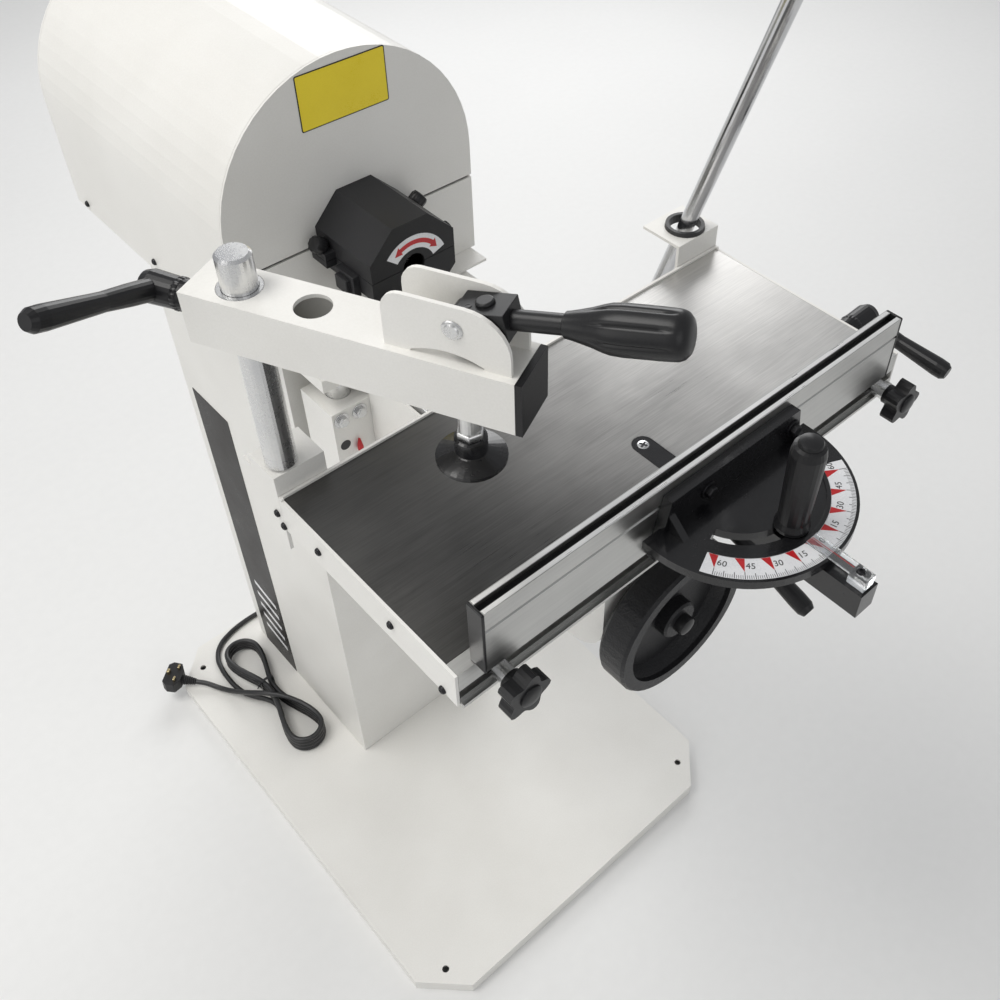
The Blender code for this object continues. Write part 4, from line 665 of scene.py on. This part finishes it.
FENCE_BOLT_Y = -0.4457
for index, x in enumerate((-0.0255, 0.0705)):
    bolt("fence_bolt_%d" % index, (PIVOT[0] + x - 0.003, FENCE_BOLT_Y, 0.8900), (0, -1, 0), 0.0052, "mitre",
         screw_black)
bar_low, bar_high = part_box("mitre_bar")
pointer_low, pointer_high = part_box("mitre_pointer")
bar_x = (bar_low.x + bar_high.x) / 2
screw("pointer_screw", (bar_x, pointer_low.y + 0.0085, pointer_high.z), (0, 0, 1), 0.0032, "table",
      height=0.0018)
line = block((bar_x - 0.00025, bar_x + 0.00025), (pointer_low.y + 0.014, pointer_high.y - 0.0005),
             (pointer_high.z, pointer_high.z + 0.0001))
piece("pointer_line", red_ink, "table", [line])
BAR_END_Y = -0.346
TABLE_TOP = 0.850
bar_screw_at = (bar_x, BAR_END_Y - 0.0094, TABLE_TOP)
head = lathe([(0.0052, -0.0008), (0.0052, -0.0003), (0.0047, 0.0)], bar_screw_at, (0, 0, 1), 32)
piece("bar_screw", zinc, "table", [head])
# Painted shade: a black cross stands in for the dark of the screw's cross recess.
cross = [block((-0.0036, 0.0036), (-0.0008, 0.0008), (-0.0002, 0.00015)),
         block((-0.0008, 0.0008), (-0.0036, 0.0036), (-0.0002, 0.00018))]
cross_place = Matrix.Translation(bar_screw_at) @ Matrix.Rotation(math.radians(20), 4, "Z")
piece("bar_screw_cross", ink_and_painted_shade, "table", [in_place(cross_place, shape) for shape in cross])
knob_low, knob_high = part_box("mitre_knob")
knob_mid = (knob_low + knob_high) / 2
piece("mitre_knob_cap", grip_black, "mitre_lock",
      [lathe([(0.0088, -0.0022), (0.0090, 0.0002), (0.0082, 0.0016), (0.0052, 0.0028), (0.0010, 0.0032)],
             (knob_mid.x, knob_mid.y, knob_high.z), (0, 0, 1), 40)])

# ---------------------------------------------------------------- fence, rail, table
fence_low, fence_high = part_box("fence")
mid_y, mid_z = (fence_low.y + fence_high.y) / 2, (fence_low.z + fence_high.z) / 2
for side, x in ((-1, fence_low.x), (1, fence_high.x)):
    place = along((x, mid_y, mid_z), (side, 0, 0), (0, 1, 0))
    outline = rounded(fence_high.y - fence_low.y + 0.0006, fence_high.z - fence_low.z + 0.0004, 0.0012)
    piece("fence_cap_" + ("left" if side < 0 else "right"), grip_black, "fence",
          [prism(outline, place, 0.0024)], 0.0006)
strips = []
for y in (fence_low.y + 0.0024, fence_high.y - 0.0024):
    strips.append(block((fence_low.x + 0.001, fence_high.x - 0.001), (y - 0.0016, y + 0.0016),
                        (fence_high.z - 0.0001, fence_high.z + 0.0003)))
piece("fence_strips", light_edge, "fence", strips)
# Painted shade: a thin black strip below the fence top stands in for the dark of its groove.
piece("fence_groove", ink_and_painted_shade, "fence",
      [block((fence_low.x + 0.001, fence_high.x - 0.001), (mid_y - 0.0050, mid_y + 0.0050),
             (fence_high.z - 0.0080, fence_high.z - 0.0072))])
apron_right_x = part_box("table_apron")[1].x
APRON_LEFT_X = -0.240
APRON_SCREW_R = 0.0034
# The second and last screw of each row sit just above the apron's lower edge.
APRON_SCREWS = ((-0.203, 0.828), (-0.210, 0.8185), (-0.261, 0.833), (-0.352, 0.834), (-0.410, 0.8185))
for index, (y, z) in enumerate(APRON_SCREWS):
    screw("apron_screw_left_%d" % index, (APRON_LEFT_X, y, z), (-1, 0, 0), APRON_SCREW_R, "table")
    screw("apron_screw_right_%d" % index, (apron_right_x, y, z), (1, 0, 0), APRON_SCREW_R, "table")
for name in ("left", "right"):
    low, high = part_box("stop_knob_" + name)
    middle = (low + high) / 2
    piece("stop_knob_boss_" + name, grip_black, "stop_knob_" + name,
          [lathe([(0.0095, -0.0010), (0.0092, 0.0012), (0.0078, 0.0022), (0.0030, 0.0026)],
                 (middle.x, low.y, middle.z), (0, -1, 0), 32)])
carriage_low, carriage_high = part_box("knee_carriage")
for index, x in enumerate((carriage_low.x + 0.010, carriage_low.x + 0.031)):
    bolt("carriage_bolt_%d" % index, (x, carriage_low.y, carriage_high.z - 0.011), (0, -1, 0), 0.0058, "knee")
# Painted shade: a thin black disc stands in for the dark of a hole in the carriage front.
piece("carriage_hole", ink_and_painted_shade, "knee",
      [lathe([(0.0058, 0.0), (0.0058, 0.0003)], (carriage_low.x + 0.010, carriage_low.y, 0.7000),
             (0, -1, 0), 32)])
piece("carriage_cap", red_ink, "knee",
      [lathe([(0.0032, 0.0), (0.0032, 0.004), (0.0012, 0.014), (0.0004, 0.015)],
             (carriage_low.x + 0.024, carriage_low.y - 0.0035, 0.6880), (0, 0, 1), 20)])

# ---------------------------------------------------------------- levers, wheel, joystick
for name, body, axis, length in (
        ("arm", "arm_lock", -ARM_DIR, 0.045), ("table", "table_lock", Vector((1, 0, 0)), 0.045),
        ("height", "height_lock", Vector((1, 0, 0)), 0.036)):
    joint = [j for j in frame["joints"] if j["child"] == body][0]
    origin = Vector(joint["pos_m"])
    end = origin + axis * length
    button = lathe([(0.0072, -0.0015), (0.0075, 0.0002), (0.0070, 0.0012), (0.0034, 0.0016),
                    (0.0030, 0.0006), (0.0004, 0.0005)], end, axis, 32)
    piece(name + "_lever_button", zinc, body, [button])
    teeth = lathe([(0.0118, 0.0), (0.0122, 0.0008), (0.0122, 0.0040), (0.0118, 0.0048)],
                  origin + axis * 0.0135, axis, 72,
                  lambda angle, index: 1.0 - 0.05 * (0.5 - 0.5 * math.cos(24 * angle)))
    piece(name + "_lever_ring", grip_black, body, [teeth])
wheel_low, wheel_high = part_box("handwheel")
wheel_mid = (wheel_low + wheel_high) / 2
piece("wheel_nut", grip_black, "wheel",
      [lathe([(0.0092, 0.0), (0.0092, 0.0070), (0.0085, 0.0090), (0.0060, 0.0100), (0.0010, 0.0103)],
             (wheel_mid.x, wheel_low.y + 0.0045, wheel_mid.z), (0, -1, 0), 36)])
stick_way = Vector((0, -0.326, 1)).normalized()
STICK_PIVOT = Vector((0.234, -0.1017, 0.600))
STICK_REACH = 0.678
BALL_R = 0.0194
ball_at = STICK_PIVOT + stick_way * STICK_REACH
ball = []
for i in range(17):
    a = math.radians(-66 + 152 * i / 16)
    ball.append((BALL_R * math.cos(a), BALL_R * math.sin(a)))
piece("stick_ball", grip_black, "stick", [lathe(ball, ball_at, stick_way, 48)])

# ---------------------------------------------------------------- stage
bpy.ops.mesh.primitive_grid_add(x_subdivisions=8, y_subdivisions=8, size=14)
floor = bpy.context.object
floor.name = "floor"
floor.data.materials.append(pale_floor)


def area(name, at, look_at, size, power, colour=(1, 1, 1)):
    """Rectangular area light aimed at a point."""
    data = bpy.data.lights.new(name, "AREA")
    data.shape = "RECTANGLE"
    data.size, data.size_y = size
    data.energy = power
    data.color = colour
    lamp = bpy.data.objects.new(name, data)
    lamp.location = at
    lamp.rotation_euler = (Vector(look_at) - Vector(at)).to_track_quat("-Z", "Y").to_euler()
    bpy.context.collection.objects.link(lamp)


area("key", (-1.1, 0.5, 3.1), (0, 0, 0.6), (1.5, 1.3), 37, (1.0, 0.985, 0.96))
area("soft_left", (-2.6, 0.1, 1.6), (0, 0, 0.7), (1.6, 1.6), 12, (1.0, 0.985, 0.96))
area("rear", (2.0, 2.1, 1.9), (0.2, -0.2, 0.85), (2.4, 1.6), 42)
area("fill", (-0.6, -2.8, 2.0), (0, 0, 0.7), (2.0, 1.6), 9)
world = bpy.data.worlds.new("studio")
world.use_nodes = True
world.node_tree.nodes["Background"].inputs["Color"].default_value = (0.93, 0.94, 0.96, 1)
world.node_tree.nodes["Background"].inputs["Strength"].default_value = 0.47
bpy.context.scene.world = world
bpy.context.scene.view_settings.view_transform = "Standard"

bpy.context.view_layer.update()
